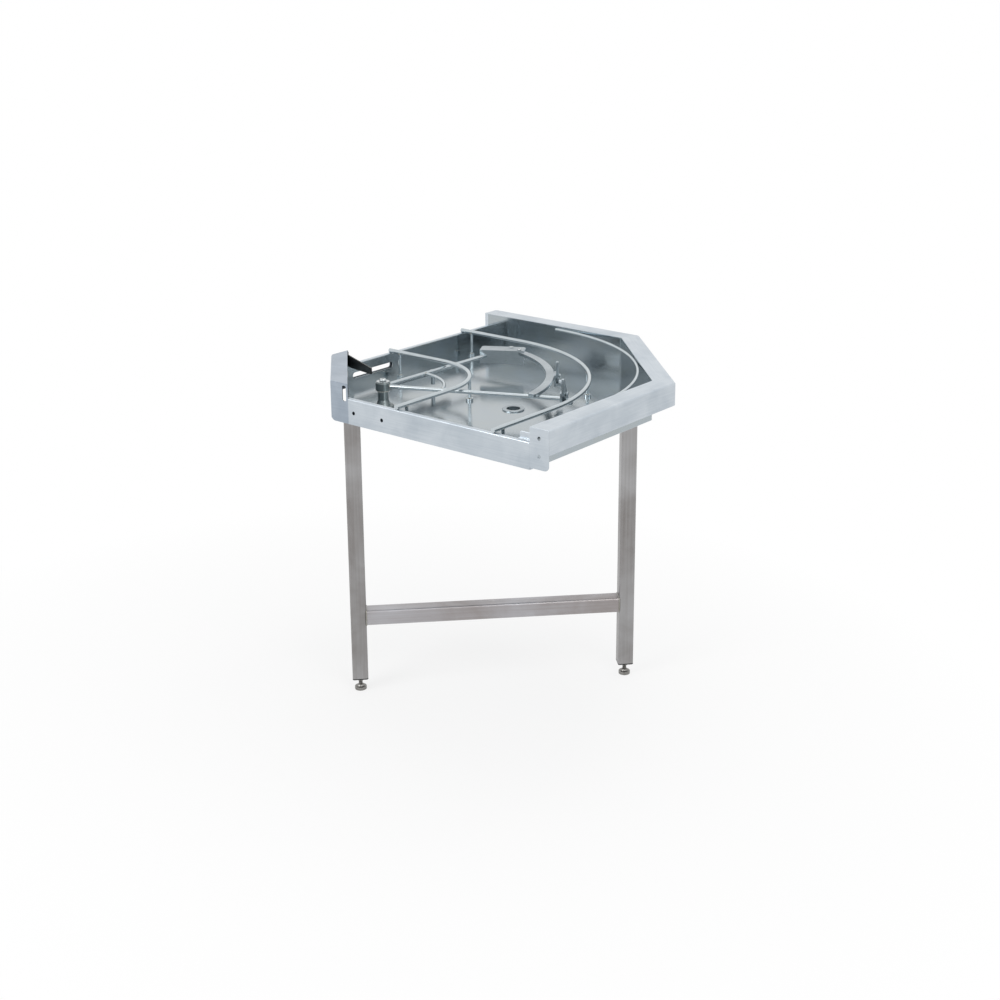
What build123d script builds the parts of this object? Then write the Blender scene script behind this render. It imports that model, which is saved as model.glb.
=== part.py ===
from build123d import *
import math
import os

# Corner section of a rack conveyor: an open stainless tray that turns racks through 90 degrees.
# All sizes are in millimetres. Plan sizes start at the virtual inner corner, where the planes of
# the two open sides meet: X runs along the front open side, Y along the left one, Z starts at the
# floor. place() moves every finished piece to the datum, the centre of the front joint's holes.

# Tray and rims
PLAN = 820.0            # inner corner to each outer face
RIM_TOP = 860.0         # floor to the top of the rims
RIM_WIDTH = 52.0        # lane face of a wall to the outer face of its rim
RIM_SKIRT = 56.0        # height of the folded-down skirt
RIM_HEM = 10.0          # inward hem at the foot of a skirt
RIM_CHAMFER = 332.0     # outer corner cut, along each side
RIM_EDGE = 5.0          # rounding along the top outer edge
SHEET = 1.5             # sheet of tray and rims
SILL_DROP = 35.0        # rim top down to the sills of the open sides
SILL_FACE = 62.0        # height of a sill's outer face, down to the tray's underside
SILL_WIDTH = 12.0
SILL_EDGE = 3.0         # rounding of a sill's two top edges
BEND = 10.0             # plan radius of the walls' upright bends
GUARD_REACH = 227.0     # the inner guard's lane face meets each open side here
GUARD_WIDTH = 40.0      # width of the inner guard, square to its lane face
GUARD_SKIRT = 92.0      # height of its skirt, which hides the tray behind it
END_PLATE = 2.0         # plate that closes each rim and guard end
END_RISE = 5.0          # tray underside to the lower edge of an outer end plate
END_CORNER = 12.0
GUARD_NOTCH = 12.0      # upright slot in a guard's end plate
GUARD_NOTCH_DEPTH = 42.0

# Rack rails, posts and the round corner guard
RAIL_D = 11.0
RAIL_IN = 378.0         # inner rail's line, from both open sides
RAIL_MARGIN = 291.0     # carrier's radius to the outer rail's line
BEND_CENTRE_IN = 190.0  # centre of the inner rail's bend, from both open sides
BEND_CENTRE_OUT = 210.0
POST_D = 8.0
POST_INSET = 38.0       # end post to the open side
COLLAR_D = 18.0
COLLAR_H = 6.0
STUD_DROP = 14.0        # threaded end below the tray
HOLE_CLEARANCE = 0.3    # radial, for fixings that pass a hole
CORNER_ROD_D = 8.0
CORNER_ROD_DROP = 9.0   # rim top to the rod's centre

# Joint holes
JOINT_HOLE_D = 9.0
JOINT_START = 17.0      # guard's lane face to the first hole on the front face
JOINT_PITCH = 90.0
JOINT_DROP = 33.0       # sill top to the hole line
LEFT_JOINT_Y = 470.0    # first hole on the left face
END_HOLE_DROP = 22.0    # rim top to the upper hole of an end plate
END_HOLE_PITCH = 40.0
SLOT_Y = 305.0          # drive slot's centre on the left sill
SLOT_LENGTH = 146.0
SLOT_HEIGHT = 15.0
SLOT_RISE = 31.0        # tray underside to the slot's centre

# Swing frame
PIVOT_X = 194.0
PIVOT_Y = 152.0
POST_FLANGE_D = 50.0
POST_FLANGE_H = 5.0
POST_BODY_D = 26.0
JOURNAL_D = 16.0
BUSH_WALL = 3.0
BUSH_LIP = 1.5
RUN_FIT = 0.05          # radial clearance of every running fit
RUN_GAP = 0.4           # end clearance of every turning piece
HUB_D = 36.0
HUB_H = 20.0
ARM_RISE = 52.0         # tray floor to the arms' centre line
ARM_D = 10.0
ARM_LONG_DEG = 89.0
ARM_SHORT_DEG = 24.0
ARM_LONG_PAST = 3.0     # pivot to the gusset, beyond the carrier's radius
ARM_SHORT_PAST = 72.0   # pivot to the exit pawl's lug, beyond the same
BRACE_R = 148.0
BRACE_D = 8.0
CARRIER_BACK = 14.0     # pivot to the centre of the carrier's arc, along X
CARRIER_ON = 71.0       # and along Y
CARRIER_R = 373.0
CARRIER_W = 20.0
CARRIER_T = 8.0
CARRIER_LEAD_DEG = 3.6  # carrier past the short arm, and short of the long one
GUSSET_MEET_DEG = 10.0  # carrier's end back to where the gusset's web meets it
GUSSET_LAP = 14.0       # gusset behind the long arm
GUSSET_WIDTH = 44.0
GUSSET_DROP = 15.0      # arm's underside to the web's lower edge
GUSSET_T = 3.0
GUSSET_BOLT_DEG = 2.0   # carrier's end back to the first bolt
GUSSET_BOLT_PITCH_DEG = 5.0
DRIVE_BAR_LENGTH = 250.0
DRIVE_BAR_W = 26.0
DRIVE_BAR_T = 4.0
DRIVE_PIN_R = 190.0
DRIVE_PIN_D = 10.0
DRIVE_PIN_NECK_D = 8.0  # part of the pin inside the drive bar
DRIVE_PIN_DROP = 30.0

# Pawls: a fin that pushes a rack, and a weight that lifts it again
PAWL_MIDDLE_DEG = 36.0  # about the carrier's centre
PAWL_T = 6.0
PAWL_TOP = 42.0         # hinge to the tip
PAWL_FACE = 24.0        # hinge to the pushing face
PAWL_TIP = 7.0          # width of the tip
PAWL_BOSS_D = 17.0
PAWL_WEIGHT_REACH = 31.0
PAWL_WEIGHT_DEG = 50.0  # weight below the horizontal, behind the hinge
PAWL_WEIGHT_T = 16.0
PAWL_HINGE_RISE = 12.0  # arms' centre line to the hinge line
PAWL_PIN_D = 6.0
PAWL_PIN_HEAD_D = 11.0
PAWL_PIN_HEAD_H = 4.0
LUG_T = 5.0
LUG_LENGTH = 34.0
STOP_D = 6.0
STOP_ALONG = 20.0       # hinge to the stop, along the weight's arm
STOP_GAP = 0.1

# Corner piece fittings
BLADE_T = 3.0
BLADE_H = 30.0
BLADE_TIP_H = 15.0
BLADE_FOOT = 30.0       # stretch fixed to the guard
BLADE_REACH = 150.0     # stretch that leans into the lane
BLADE_TURN_DEG = 22.0
BLADE_START = 6.0       # open left side to the blade, along the guard
BLADE_SCREW_D = 5.0
STOP_BLOCK_SHARE = 0.318  # share of the space between outer rail and wall
STOP_BLOCK_H = 18.0
STOP_BLOCK_T = 4.0

# Drain
DRAIN_X = 458.0
DRAIN_Y = 328.0
DRAIN_THREAD_D = 40.0
DRAIN_THREAD_SHOWN = 3.0  # thread below the ring nut
DRAIN_TAIL_D = 38.0
DRAIN_WALL = 2.0
DRAIN_FLANGE_D = 54.0
DRAIN_FLANGE_T = 3.0
DRAIN_LEDGE = 2.0       # width and height of the ledge that holds the strainer
DRAIN_LENGTH = 58.0
DRAIN_NUT_D = 52.0
DRAIN_NUT_H = 9.0
STRAINER_T = 1.5
STRAINER_DEPTH = 12.0   # flange top down to the strainer
STRAINER_HOLE_D = 4.0

# Stand
LEG_SIZE = 40.0
LEG_WALL = 1.5
LEG_CORNER = 5.0
LEG_NEAR = 118.0        # near leg's centre, from both open sides
LEG_FAR_INSET = 214.0   # outer corner to the far leg's centre
LEG_FOOT = 33.0         # floor to the insert's underside
BAR_UNDERSIDE = 183.0
CHANNEL_T = 2.0
CHANNEL_H = 27.0
CHANNEL_OVERHANG = 8.0
CHANNEL_SIDE_GAP = 0.3
LEG_BOLT_D = 8.0
LEG_BOLT_DROP = 14.0    # channel web to the leg bolt
INSERT_FLANGE = 3.0
INSERT_DEPTH = 25.0
INSERT_GAP = 0.1
FOOT_STEM_D = 10.0
FOOT_PAD_D = 30.0
FOOT_PAD_H = 8.0
FOOT_CONE_H = 6.0
FOOT_STEM_IN = 22.0     # thread inside the insert
LOCKNUT_AF = 17.0
LOCKNUT_H = 8.0

# Fasteners
NUT_AF = 13.0
NUT_H = 6.5
SCREW_HEAD_H = 4.5

# Heights and lines that follow
SILL_TOP = RIM_TOP - SILL_DROP
UNDERSIDE = SILL_TOP - SILL_FACE
FLOOR = UNDERSIDE + SHEET
WALL_TOP = RIM_TOP - SHEET
LANE_FACE = PLAN - RIM_WIDTH
RAIL_OUT = CARRIER_R + RAIL_MARGIN
JOINT_X = GUARD_REACH + JOINT_START
LEG_FAR = PLAN - LEG_FAR_INSET
ROOT2 = math.sqrt(2.0)
OUTER_DIAGONAL = 2.0 * PLAN - RIM_CHAMFER
LANE_DIAGONAL = OUTER_DIAGONAL - RIM_WIDTH * ROOT2
GUARD_DIAGONAL = GUARD_REACH - GUARD_WIDTH * ROOT2
RAIL_Z = SILL_TOP + RAIL_D / 2
ARM_Z = FLOOR + ARM_RISE
CARRIER_TOP = ARM_Z + ARM_D / 2 + CARRIER_T
CARRIER_X = PIVOT_X - CARRIER_BACK
CARRIER_Y = PIVOT_Y + CARRIER_ON
ARM_LONG = CARRIER_R + ARM_LONG_PAST
ARM_SHORT = CARRIER_R + ARM_SHORT_PAST
JOINT_Z = SILL_TOP - JOINT_DROP
SLOT_Z = UNDERSIDE + SLOT_RISE
DATUM = (JOINT_X + JOINT_PITCH / 2, 0.0, JOINT_Z)
HINGE_Z = ARM_Z + PAWL_HINGE_RISE
CHANNEL_BASE = UNDERSIDE - CHANNEL_T
HIGH = 4.0 * PLAN
DIAGONAL_PLANE = Plane(origin=(0, 0, 0), x_dir=(1, 1, 0), z_dir=(0, 0, 1))
MIRROR_PLANE = Plane(origin=(0, 0, 0), x_dir=(1, 1, 0), z_dir=(1, -1, 0))
PIVOT = Pos(PIVOT_X, PIVOT_Y, 0)


def place(node, shape):
    """Move a finished piece to the datum and write its file."""
    moved = Pos(-DATUM[0], -DATUM[1], -DATUM[2]) * shape
    moved.label = node
    export_step(moved, os.path.join("parts", node + ".step"))


def upward(face, height):
    """Extrude a face along +Z."""
    return extrude(face, height, dir=(0, 0, 1))


def block(x0, x1, y0, y1, z0, z1):
    """Box between two corners."""
    return Pos((x0 + x1) / 2, (y0 + y1) / 2, (z0 + z1) / 2) * Box(x1 - x0, y1 - y0, z1 - z0)


def rod(radius, z0, z1):
    """Upright cylinder on the Z axis."""
    return Pos(0, 0, (z0 + z1) / 2) * Cylinder(radius, z1 - z0)


def slab(face, z0, z1):
    """Upright solid of a plan face between two heights."""
    return upward(Pos(0, 0, z0) * face, z1 - z0)


def hexagon(across_flats, z0, z1):
    """Upright hexagonal prism."""
    return slab(RegularPolygon(across_flats / 2, 6, major_radius=False), z0, z1)


def union(solids):
    """Fuse a list of solids."""
    whole = solids[0]
    for solid in solids[1:]:
        whole = whole + solid
    return whole


def mirrored(shape):
    """The same piece on the other side of the tray's diagonal."""
    return mirror(shape, about=MIRROR_PLANE)


def corner_outline(straight, diagonal, overshoot):
    """Plan face bounded by two straight walls and the wall across their corner."""
    cut = diagonal - straight
    return make_face(Polyline(
        (-overshoot, -overshoot), (straight, -overshoot), (straight, cut),
        (cut, straight), (-overshoot, straight), close=True))


def bent(face, diagonal, radius):
    """Round the two upright bends beside the corner wall."""
    bends = [v for v in face.vertices() if abs(v.X + v.Y - diagonal) < 0.01]
    return fillet(bends, radius)


def inside_diagonal(diagonal):
    """Everything on the inner corner's side of a 45 degree line."""
    reach = HIGH
    return slab(make_face(Polyline(
        (diagonal + reach, -reach), (-reach, diagonal + reach), (-reach, -reach), close=True)), -HIGH, HIGH)


def lane_outline(grow, overshoot):
    """Lane face of the outer walls, grown outward by a sheet thickness."""
    diagonal = LANE_DIAGONAL + grow * ROOT2
    return bent(corner_outline(LANE_FACE + grow, diagonal, overshoot), diagonal, BEND + grow)


def sill_channel():
    """Front sill: a sheet folded over, open underneath."""
    skin = block(0, LANE_FACE, 0, SILL_WIDTH, UNDERSIDE, SILL_TOP)
    top_edges = skin.edges().filter_by(Axis.X).group_by(Axis.Z)[-1]
    skin = fillet(top_edges, SILL_EDGE)
    hollow = block(-1, LANE_FACE + 1, SHEET, SILL_WIDTH - SHEET, UNDERSIDE - 1, SILL_TOP - SHEET)
    inner_edges = hollow.edges().filter_by(Axis.X).group_by(Axis.Z)[-1]
    hollow = fillet(inner_edges, SILL_EDGE - SHEET)
    sill = skin - hollow - inside_diagonal(GUARD_REACH - SHEET * ROOT2)
    return sill - block(0, GUARD_REACH, -1, END_PLATE, 0, HIGH)


def joint_holes():
    """Bolt holes through the outer skin of both sills, and the drive slot."""
    cutters = []
    for step in range(2):
        along_x = JOINT_X + step * JOINT_PITCH
        along_y = LEFT_JOINT_Y + step * JOINT_PITCH
        front = Pos(along_x, 0, JOINT_Z) * Rot(90, 0, 0) * Cylinder(JOINT_HOLE_D / 2, 2 * SILL_WIDTH / 3)
        left = Pos(0, along_y, JOINT_Z) * Rot(0, 90, 0) * Cylinder(JOINT_HOLE_D / 2, 2 * SILL_WIDTH / 3)
        cutters += [front, left]
    slot_face = Plane(origin=(0, SLOT_Y, SLOT_Z), x_dir=(0, 1, 0), z_dir=(1, 0, 0)) * SlotOverall(
        SLOT_LENGTH, SLOT_HEIGHT)
    cutters.append(extrude(slot_face, 2 * SILL_WIDTH, both=True))
    return cutters


def post_points():
    """Foot of every rail post: two end posts and one at the middle of the bend, for each rail."""
    points = {}
    for rail, line, centre in (("inner", RAIL_IN, BEND_CENTRE_IN), ("outer", RAIL_OUT, BEND_CENTRE_OUT)):
        apex = centre + (line - centre) / ROOT2
        points[rail] = [(line, POST_INSET), (apex, apex), (POST_INSET, line)]
    return points


def basin():
    """Tray: floor, outer walls, the wall behind the guard, and the two folded sills."""
    beyond = block(END_PLATE, HIGH, END_PLATE, HIGH, UNDERSIDE, WALL_TOP)
    plan = lane_outline(SHEET, PLAN)
    hollow = lane_outline(0, 2 * PLAN)
    shell = slab(plan, UNDERSIDE, WALL_TOP) - slab(hollow, FLOOR, RIM_TOP)
    guard_wall = slab(plan, UNDERSIDE, WALL_TOP) & inside_diagonal(GUARD_REACH)
    shell = (shell + guard_wall) - inside_diagonal(GUARD_REACH - SHEET * ROOT2)
    shell = shell & beyond
    open_front = block(0, LANE_FACE, 0, SILL_WIDTH - SHEET, UNDERSIDE, FLOOR)
    open_left = block(0, SILL_WIDTH - SHEET, 0, LANE_FACE, UNDERSIDE, FLOOR)
    shell = shell - open_front - open_left
    front = sill_channel()
    tray = union([shell, front, mirrored(front)])
    for cutter in joint_holes():
        tray = tray - cutter
    for feet in post_points().values():
        for x, y in feet:
            tray = tray - Pos(x, y, 0) * rod(POST_D / 2 + HOLE_CLEARANCE, UNDERSIDE - 1, FLOOR + 1)
    tray = tray - Pos(DRAIN_X, DRAIN_Y, 0) * rod(DRAIN_THREAD_D / 2 + HOLE_CLEARANCE, UNDERSIDE - 1, FLOOR + 1)
    tray = tray - PIVOT * rod(POST_D / 2 + HOLE_CLEARANCE, UNDERSIDE - 1, FLOOR + 1)
    for screw in blade_screw_axes():
        tray = tray - screw * Cylinder(BLADE_SCREW_D / 2 + HOLE_CLEARANCE, 6 * SHEET)
    return tray


def outward_edges(solid):
    """Top edges of a rim solid, without those where it overshoots the open sides."""
    top = solid.edges().group_by(Axis.Z)[-1]
    return [e for e in top if min(e.center().X, e.center().Y) > 2 * SHEET - PLAN]


def outer_rim():
    """Rim along the back, the cut corner and the right side: top, skirt and hem."""
    outer = bent(corner_outline(PLAN, OUTER_DIAGONAL, PLAN), OUTER_DIAGONAL, BEND)
    lane = lane_outline(0, 2 * PLAN)
    solid = slab(outer, RIM_TOP - RIM_SKIRT, RIM_TOP)
    rounded = outward_edges(solid)
    solid = fillet(rounded, RIM_EDGE)
    skirt_inside = offset(outer, amount=-SHEET, kind=Kind.INTERSECTION)
    cavity = slab(skirt_inside, RIM_TOP - RIM_SKIRT - 1, RIM_TOP - SHEET)
    cavity = fillet(outward_edges(cavity), RIM_EDGE - SHEET)
    hem_inside = offset(outer, amount=-RIM_HEM, kind=Kind.INTERSECTION)
    hem = slab(outer, RIM_TOP - RIM_SKIRT, RIM_TOP - RIM_SKIRT + SHEET)
    hem = hem - slab(hem_inside, 0, RIM_TOP)
    rim = (solid - cavity + hem) - slab(lane, 0, 2 * RIM_TOP)
    return rim & block(END_PLATE, HIGH, END_PLATE, HIGH, 0, HIGH)


def corner_guard():
    """Inner guard: the same fold as the rim, cut straight across the inner corner."""
    width, skirt = GUARD_WIDTH, GUARD_SKIRT
    profile = Plane(origin=(GUARD_REACH / 2, GUARD_REACH / 2, RIM_TOP), x_dir=(-1, -1, 0), z_dir=(-1, 1, 0))
    section = make_face(Polyline(
        (0, 0), (width, 0), (width, -skirt), (width - RIM_HEM, -skirt),
        (width - RIM_HEM, SHEET - skirt), (width - SHEET, SHEET - skirt),
        (width - SHEET, -SHEET), (0, -SHEET), close=True))
    outside = [v for v in section.vertices() if v.X > width - 0.01 and v.Y > -0.01]
    section = fillet(outside, RIM_EDGE)
    inside = [v for v in section.vertices() if abs(v.X - width + SHEET) < 0.01 and abs(v.Y + SHEET) < 0.01]
    section = fillet(inside, RIM_EDGE - SHEET)
    band = extrude(profile * section, PLAN, both=True)
    return band & block(END_PLATE, HIGH, END_PLATE, HIGH, 0, HIGH)


def rim_end():
    """Plate that closes the rim at the front open side."""
    bottom = UNDERSIDE + END_RISE
    plate = block(LANE_FACE, PLAN, 0, END_PLATE, bottom, RIM_TOP)
    outer_side = plate.edges().filter_by(Axis.Y).group_by(Axis.X)[-1].sort_by(Axis.Z)
    plate = fillet(outer_side[0], END_CORNER)
    outer_side = plate.edges().filter_by(Axis.Y).group_by(Axis.X)[-1].sort_by(Axis.Z)
    plate = fillet(outer_side[-1], RIM_EDGE)
    middle = (LANE_FACE + PLAN) / 2
    for step in range(2):
        z = RIM_TOP - END_HOLE_DROP - step * END_HOLE_PITCH
        plate = plate - Pos(middle, 0, z) * Rot(90, 0, 0) * Cylinder(JOINT_HOLE_D / 2, 4 * END_PLATE)
    return plate


def guard_end():
    """Plate that closes the guard at the front open side, with its upright slot."""
    plate = block(GUARD_DIAGONAL, GUARD_REACH, 0, END_PLATE, UNDERSIDE, RIM_TOP)
    outer_side = plate.edges().filter_by(Axis.Y).group_by(Axis.X)[0].sort_by(Axis.Z)
    plate = fillet(outer_side[0], END_CORNER)
    outer_side = plate.edges().filter_by(Axis.Y).group_by(Axis.X)[0].sort_by(Axis.Z)
    plate = fillet(outer_side[-1], RIM_EDGE)
    notch_x = GUARD_REACH - GUARD_NOTCH
    notch = block(notch_x - GUARD_NOTCH / 2, notch_x + GUARD_NOTCH / 2, -1, END_PLATE + 1,
                  RIM_TOP - SHEET - GUARD_NOTCH_DEPTH, RIM_TOP - 4 * SHEET)
    return plate - fillet(notch.edges().filter_by(Axis.Y), GUARD_NOTCH / 3)


def bent_bar(line, centre, diameter, z, start):
    """Round bar: straight from the front, a quarter bend, straight to the left side."""
    radius = line - centre
    path = Line((line, start), (line, centre))
    path += JernArc((line, centre), (0, 1), radius, 90)
    path += Line((centre, line), (start, line))
    path = Pos(0, 0, z) * path
    section = Plane(origin=(line, start, z), z_dir=(0, 1, 0)) * Circle(diameter / 2)
    return sweep(section, path=path)


def rail(name, line, centre):
    """Rack rail with its posts, floor collars and threaded ends."""
    bar = bent_bar(line, centre, RAIL_D, RAIL_Z, SILL_EDGE)
    pieces = [bar]
    for x, y in post_points()[name]:
        pieces.append(Pos(x, y, 0) * rod(POST_D / 2, UNDERSIDE - STUD_DROP, RAIL_Z))
        pieces.append(Pos(x, y, 0) * rod(COLLAR_D / 2, FLOOR, FLOOR + COLLAR_H))
    return union(pieces)


def rail_nuts(name):
    """Nuts on the posts' threaded ends, under the tray."""
    nuts = []
    for x, y in post_points()[name]:
        seat = CHANNEL_BASE if x == y else UNDERSIDE
        nut = hexagon(NUT_AF, seat - NUT_H, seat) - rod(POST_D / 2 + RUN_FIT, 0, RIM_TOP)
        nuts.append(Pos(x, y, 0) * nut)
    return Compound(children=nuts)


def corner_rod():
    """Thin round bar that guides a rack's outer corner, tangent to the three outer walls."""
    line = LANE_FACE - CORNER_ROD_D / 2
    middle = (LANE_DIAGONAL - CORNER_ROD_D / ROOT2) / 2
    centre = (middle - line / ROOT2) / (1 - 1 / ROOT2)
    z = RIM_TOP - CORNER_ROD_DROP
    path = Pos(0, 0, z) * JernArc((line, centre), (0, 1), line - centre, 90)
    section = Plane(origin=(line, centre, z), z_dir=(0, 1, 0)) * Circle(CORNER_ROD_D / 2)
    return sweep(section, path=path)


def blade_frame():
    """Axes of the rack blade: X along the guard's lane face towards the front, Z up."""
    start = (BLADE_START, GUARD_REACH - BLADE_START, RIM_TOP - SHEET - BLADE_H)
    return Plane(origin=start, x_dir=(1, -1, 0), z_dir=(0, 0, 1))


def blade_screw_axes():
    """Axes of the two screws that hold the blade to the guard's wall."""
    frame = blade_frame()
    spots = []
    for share in (0.25, 0.75):
        spot = frame * Pos(BLADE_FOOT * share, 0, BLADE_H / 2) * Rot(90, 0, 0)
        spots.append(spot)
    return spots


def guide_blade():
    """Folded blade that leads a rack's inner corner off the guard."""
    turn = math.radians(BLADE_TURN_DEG)
    tip_x = BLADE_FOOT + BLADE_REACH * math.cos(turn)
    tip_y = BLADE_REACH * math.sin(turn)
    plan = make_face(Polyline(
        (0, 0), (BLADE_FOOT, 0), (tip_x, tip_y),
        (tip_x - BLADE_T * math.sin(turn), tip_y + BLADE_T * math.cos(turn)),
        (BLADE_FOOT - BLADE_T * math.tan(turn / 2), BLADE_T), (0, BLADE_T), close=True))
    blade = upward(plan, BLADE_H)
    drop = BLADE_H - BLADE_TIP_H
    taper = make_face(Polyline(
        (BLADE_FOOT + BLADE_H / 2, 0), (tip_x + BLADE_T, drop),
        (tip_x + BLADE_T, -BLADE_T), (BLADE_FOOT + BLADE_H / 2, -BLADE_T), close=True))
    under = extrude(Plane.XZ * taper, 2 * BLADE_REACH, both=True)
    blade = blade_frame() * (blade - under)
    for screw in blade_screw_axes():
        blade = blade - screw * Cylinder(BLADE_SCREW_D / 2 + HOLE_CLEARANCE, 6 * BLADE_T)
    return blade


def blade_screws():
    """Two pan head screws through the blade and the guard's wall, with their nuts."""
    screws = []
    for axis in blade_screw_axes():
        head = rod(BLADE_SCREW_D, -BLADE_T - SCREW_HEAD_H, -BLADE_T)
        head = fillet(head.edges().group_by(Axis.Z)[0], SCREW_HEAD_H / 2)
        shank = rod(BLADE_SCREW_D / 2, -BLADE_T, SHEET + NUT_H)
        nut = hexagon(1.6 * BLADE_SCREW_D, SHEET, SHEET + 0.7 * NUT_H)
        screws.append(axis * (head + shank + nut))
    return Compound(children=screws)


def stop_block():
    """Small angle at the end of the front sill that keeps a rack off the end plate."""
    back = SILL_WIDTH - STOP_BLOCK_T
    length = STOP_BLOCK_SHARE * (LANE_FACE - RAIL_OUT)
    rounding = length / 8
    foot = block(LANE_FACE - length, LANE_FACE, SILL_EDGE, SILL_WIDTH, SILL_TOP, SILL_TOP + STOP_BLOCK_T)
    upright = block(LANE_FACE - length, LANE_FACE - rounding, back, SILL_WIDTH, SILL_TOP, SILL_TOP + STOP_BLOCK_H)
    corners = upright.edges().filter_by(Axis.Y).group_by(Axis.Z)[-1]
    return fillet(corners, rounding) + foot


def polar(radius, degrees):
    """Point at a distance and bearing from the pivot."""
    angle = math.radians(degrees)
    return (PIVOT_X + radius * math.cos(angle), PIVOT_Y + radius * math.sin(angle))


def arm_frame(degrees, z):
    """Frame at the pivot: X out along an arm, Z up."""
    angle = math.radians(degrees)
    return Plane(origin=(PIVOT_X, PIVOT_Y, z), x_dir=(math.cos(angle), math.sin(angle), 0), z_dir=(0, 0, 1))


def on_carrier(radius, degrees):
    """Point at a distance and bearing from the centre of the carrier's arc."""
    angle = math.radians(degrees)
    return (CARRIER_X + radius * math.cos(angle), CARRIER_Y + radius * math.sin(angle))


def carrier_bearing(arm_degrees):
    """Bearing, about the carrier's own centre, of the point where an arm's line meets the carrier."""
    angle = math.radians(arm_degrees)
    offset_x, offset_y = PIVOT_X - CARRIER_X, PIVOT_Y - CARRIER_Y
    along = offset_x * math.cos(angle) + offset_y * math.sin(angle)
    reach = math.sqrt(along ** 2 + CARRIER_R ** 2 - offset_x ** 2 - offset_y ** 2) - along
    return math.degrees(math.atan2(offset_y + reach * math.sin(angle), offset_x + reach * math.cos(angle)))


def carrier_ends():
    """Bearings of the carrier's two ends about its own centre."""
    return (carrier_bearing(ARM_SHORT_DEG) - CARRIER_LEAD_DEG, carrier_bearing(ARM_LONG_DEG) - CARRIER_LEAD_DEG)


def pawl_frames():
    """Frames on the pawls' hinges, at the lugs' outer faces: X forward along the travel, Y outward, Z up."""
    places = {
        1: (on_carrier(CARRIER_R + CARRIER_W / 2 + LUG_T, PAWL_MIDDLE_DEG), PAWL_MIDDLE_DEG),
        2: (polar(ARM_SHORT + LUG_T, ARM_SHORT_DEG), ARM_SHORT_DEG),
    }
    frames = {}
    for number, ((x, y), degrees) in places.items():
        angle = math.radians(degrees)
        frames[number] = Plane(
            origin=(x, y, HINGE_Z), x_dir=(math.sin(angle), -math.cos(angle), 0), z_dir=(0, 0, 1))
    return frames


def outward(face, y0, y1):
    """Solid of a side view drawn in X and Z, between two distances along Y."""
    side = Plane(origin=(0, y0, 0), x_dir=(1, 0, 0), z_dir=(0, -1, 0))
    return extrude(side * face, y1 - y0, dir=(0, 1, 0))


def pivot_post():
    """Turned post: threaded end, flange, cone, body and journal."""
    half = HUB_H / 2 + RUN_GAP
    shoulder = ARM_Z - half - BUSH_LIP
    flange_top = FLOOR + POST_FLANGE_H
    body = POST_BODY_D / 2
    cone_top = flange_top + body
    journal_top = ARM_Z + half
    outline = Polyline(
        (0, UNDERSIDE - STUD_DROP), (POST_D / 2, UNDERSIDE - STUD_DROP), (POST_D / 2, FLOOR),
        (POST_FLANGE_D / 2, FLOOR), (POST_FLANGE_D / 2, flange_top - 1), (POST_FLANGE_D / 2 - 1, flange_top),
        (body + 4, flange_top), (body, cone_top), (body, shoulder), (JOURNAL_D / 2, shoulder),
        (JOURNAL_D / 2, journal_top), (0, journal_top), close=True)
    post = revolve(make_face(Plane.XZ * outline), Axis.Z)
    return PIVOT * (post - rod(POST_D / 2, shoulder, journal_top + 1))


def pivot_bush():
    """Flanged plastic bush pressed into the hub."""
    inner = JOURNAL_D / 2 + RUN_FIT
    outer = inner + BUSH_WALL
    bottom = ARM_Z - HUB_H / 2
    sleeve = rod(outer, bottom - BUSH_LIP, bottom + HUB_H)
    lip = rod(HUB_D / 2 - SHEET, bottom - BUSH_LIP, bottom)
    return PIVOT * (sleeve + lip - rod(inner, 0, RIM_TOP))


def swing_hub():
    """Round boss that turns on the post."""
    body = rod(HUB_D / 2, ARM_Z - HUB_H / 2, ARM_Z + HUB_H / 2)
    body = chamfer(body.edges().filter_by(GeomType.CIRCLE), 1.0)
    return PIVOT * (body - rod(JOURNAL_D / 2 + RUN_FIT + BUSH_WALL, 0, RIM_TOP))


def pivot_washer():
    """Washer that keeps the hub on the post."""
    bottom = ARM_Z + HUB_H / 2 + RUN_GAP
    return PIVOT * (rod(HUB_D / 2 - 2, bottom, bottom + 2) - rod(POST_D / 2 + HOLE_CLEARANCE, 0, RIM_TOP))


def pivot_screw():
    """Domed screw in the top of the post."""
    seat = ARM_Z + HUB_H / 2 + RUN_GAP + 2
    shank = rod(POST_D / 2, seat - HUB_H, seat)
    head = rod(1.1 * POST_D, seat, seat + 0.75 * POST_D)
    head = fillet(head.edges().group_by(Axis.Z)[-1], 0.6 * POST_D)
    return PIVOT * (head + shank)


def arm_bar(degrees, length):
    """Round arm, coped to the hub."""
    bar = arm_frame(degrees, ARM_Z) * (Rot(0, 90, 0) * rod(ARM_D / 2, 0, length))
    return bar - PIVOT * rod(HUB_D / 2, 0, RIM_TOP)


def long_arm():
    """Arm that ends flat against the gusset's web."""
    beyond = block(-ARM_LONG, ARM_LONG, 0, ARM_LONG, -RIM_SKIRT, RIM_SKIRT)
    return arm_bar(ARM_LONG_DEG, ARM_LONG + ARM_D) - gusset_frame() * beyond


def short_arm():
    """Arm that passes under the carrier to the exit pawl's lug."""
    return arm_bar(ARM_SHORT_DEG, ARM_SHORT)


def carrier_sector(inner, outer, start_deg, end_deg, z0, z1):
    """Part of a flat ring about the carrier's centre."""
    far = 2 * outer
    wedge = [(0, 0)]
    for degrees in (start_deg, end_deg):
        angle = math.radians(degrees)
        wedge.append((far * math.cos(angle), far * math.sin(angle)))
    ring = Circle(outer) - Circle(inner)
    return Pos(CARRIER_X, CARRIER_Y, 0) * slab(ring & make_face(Polyline(*wedge, close=True)), z0, z1)


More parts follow.
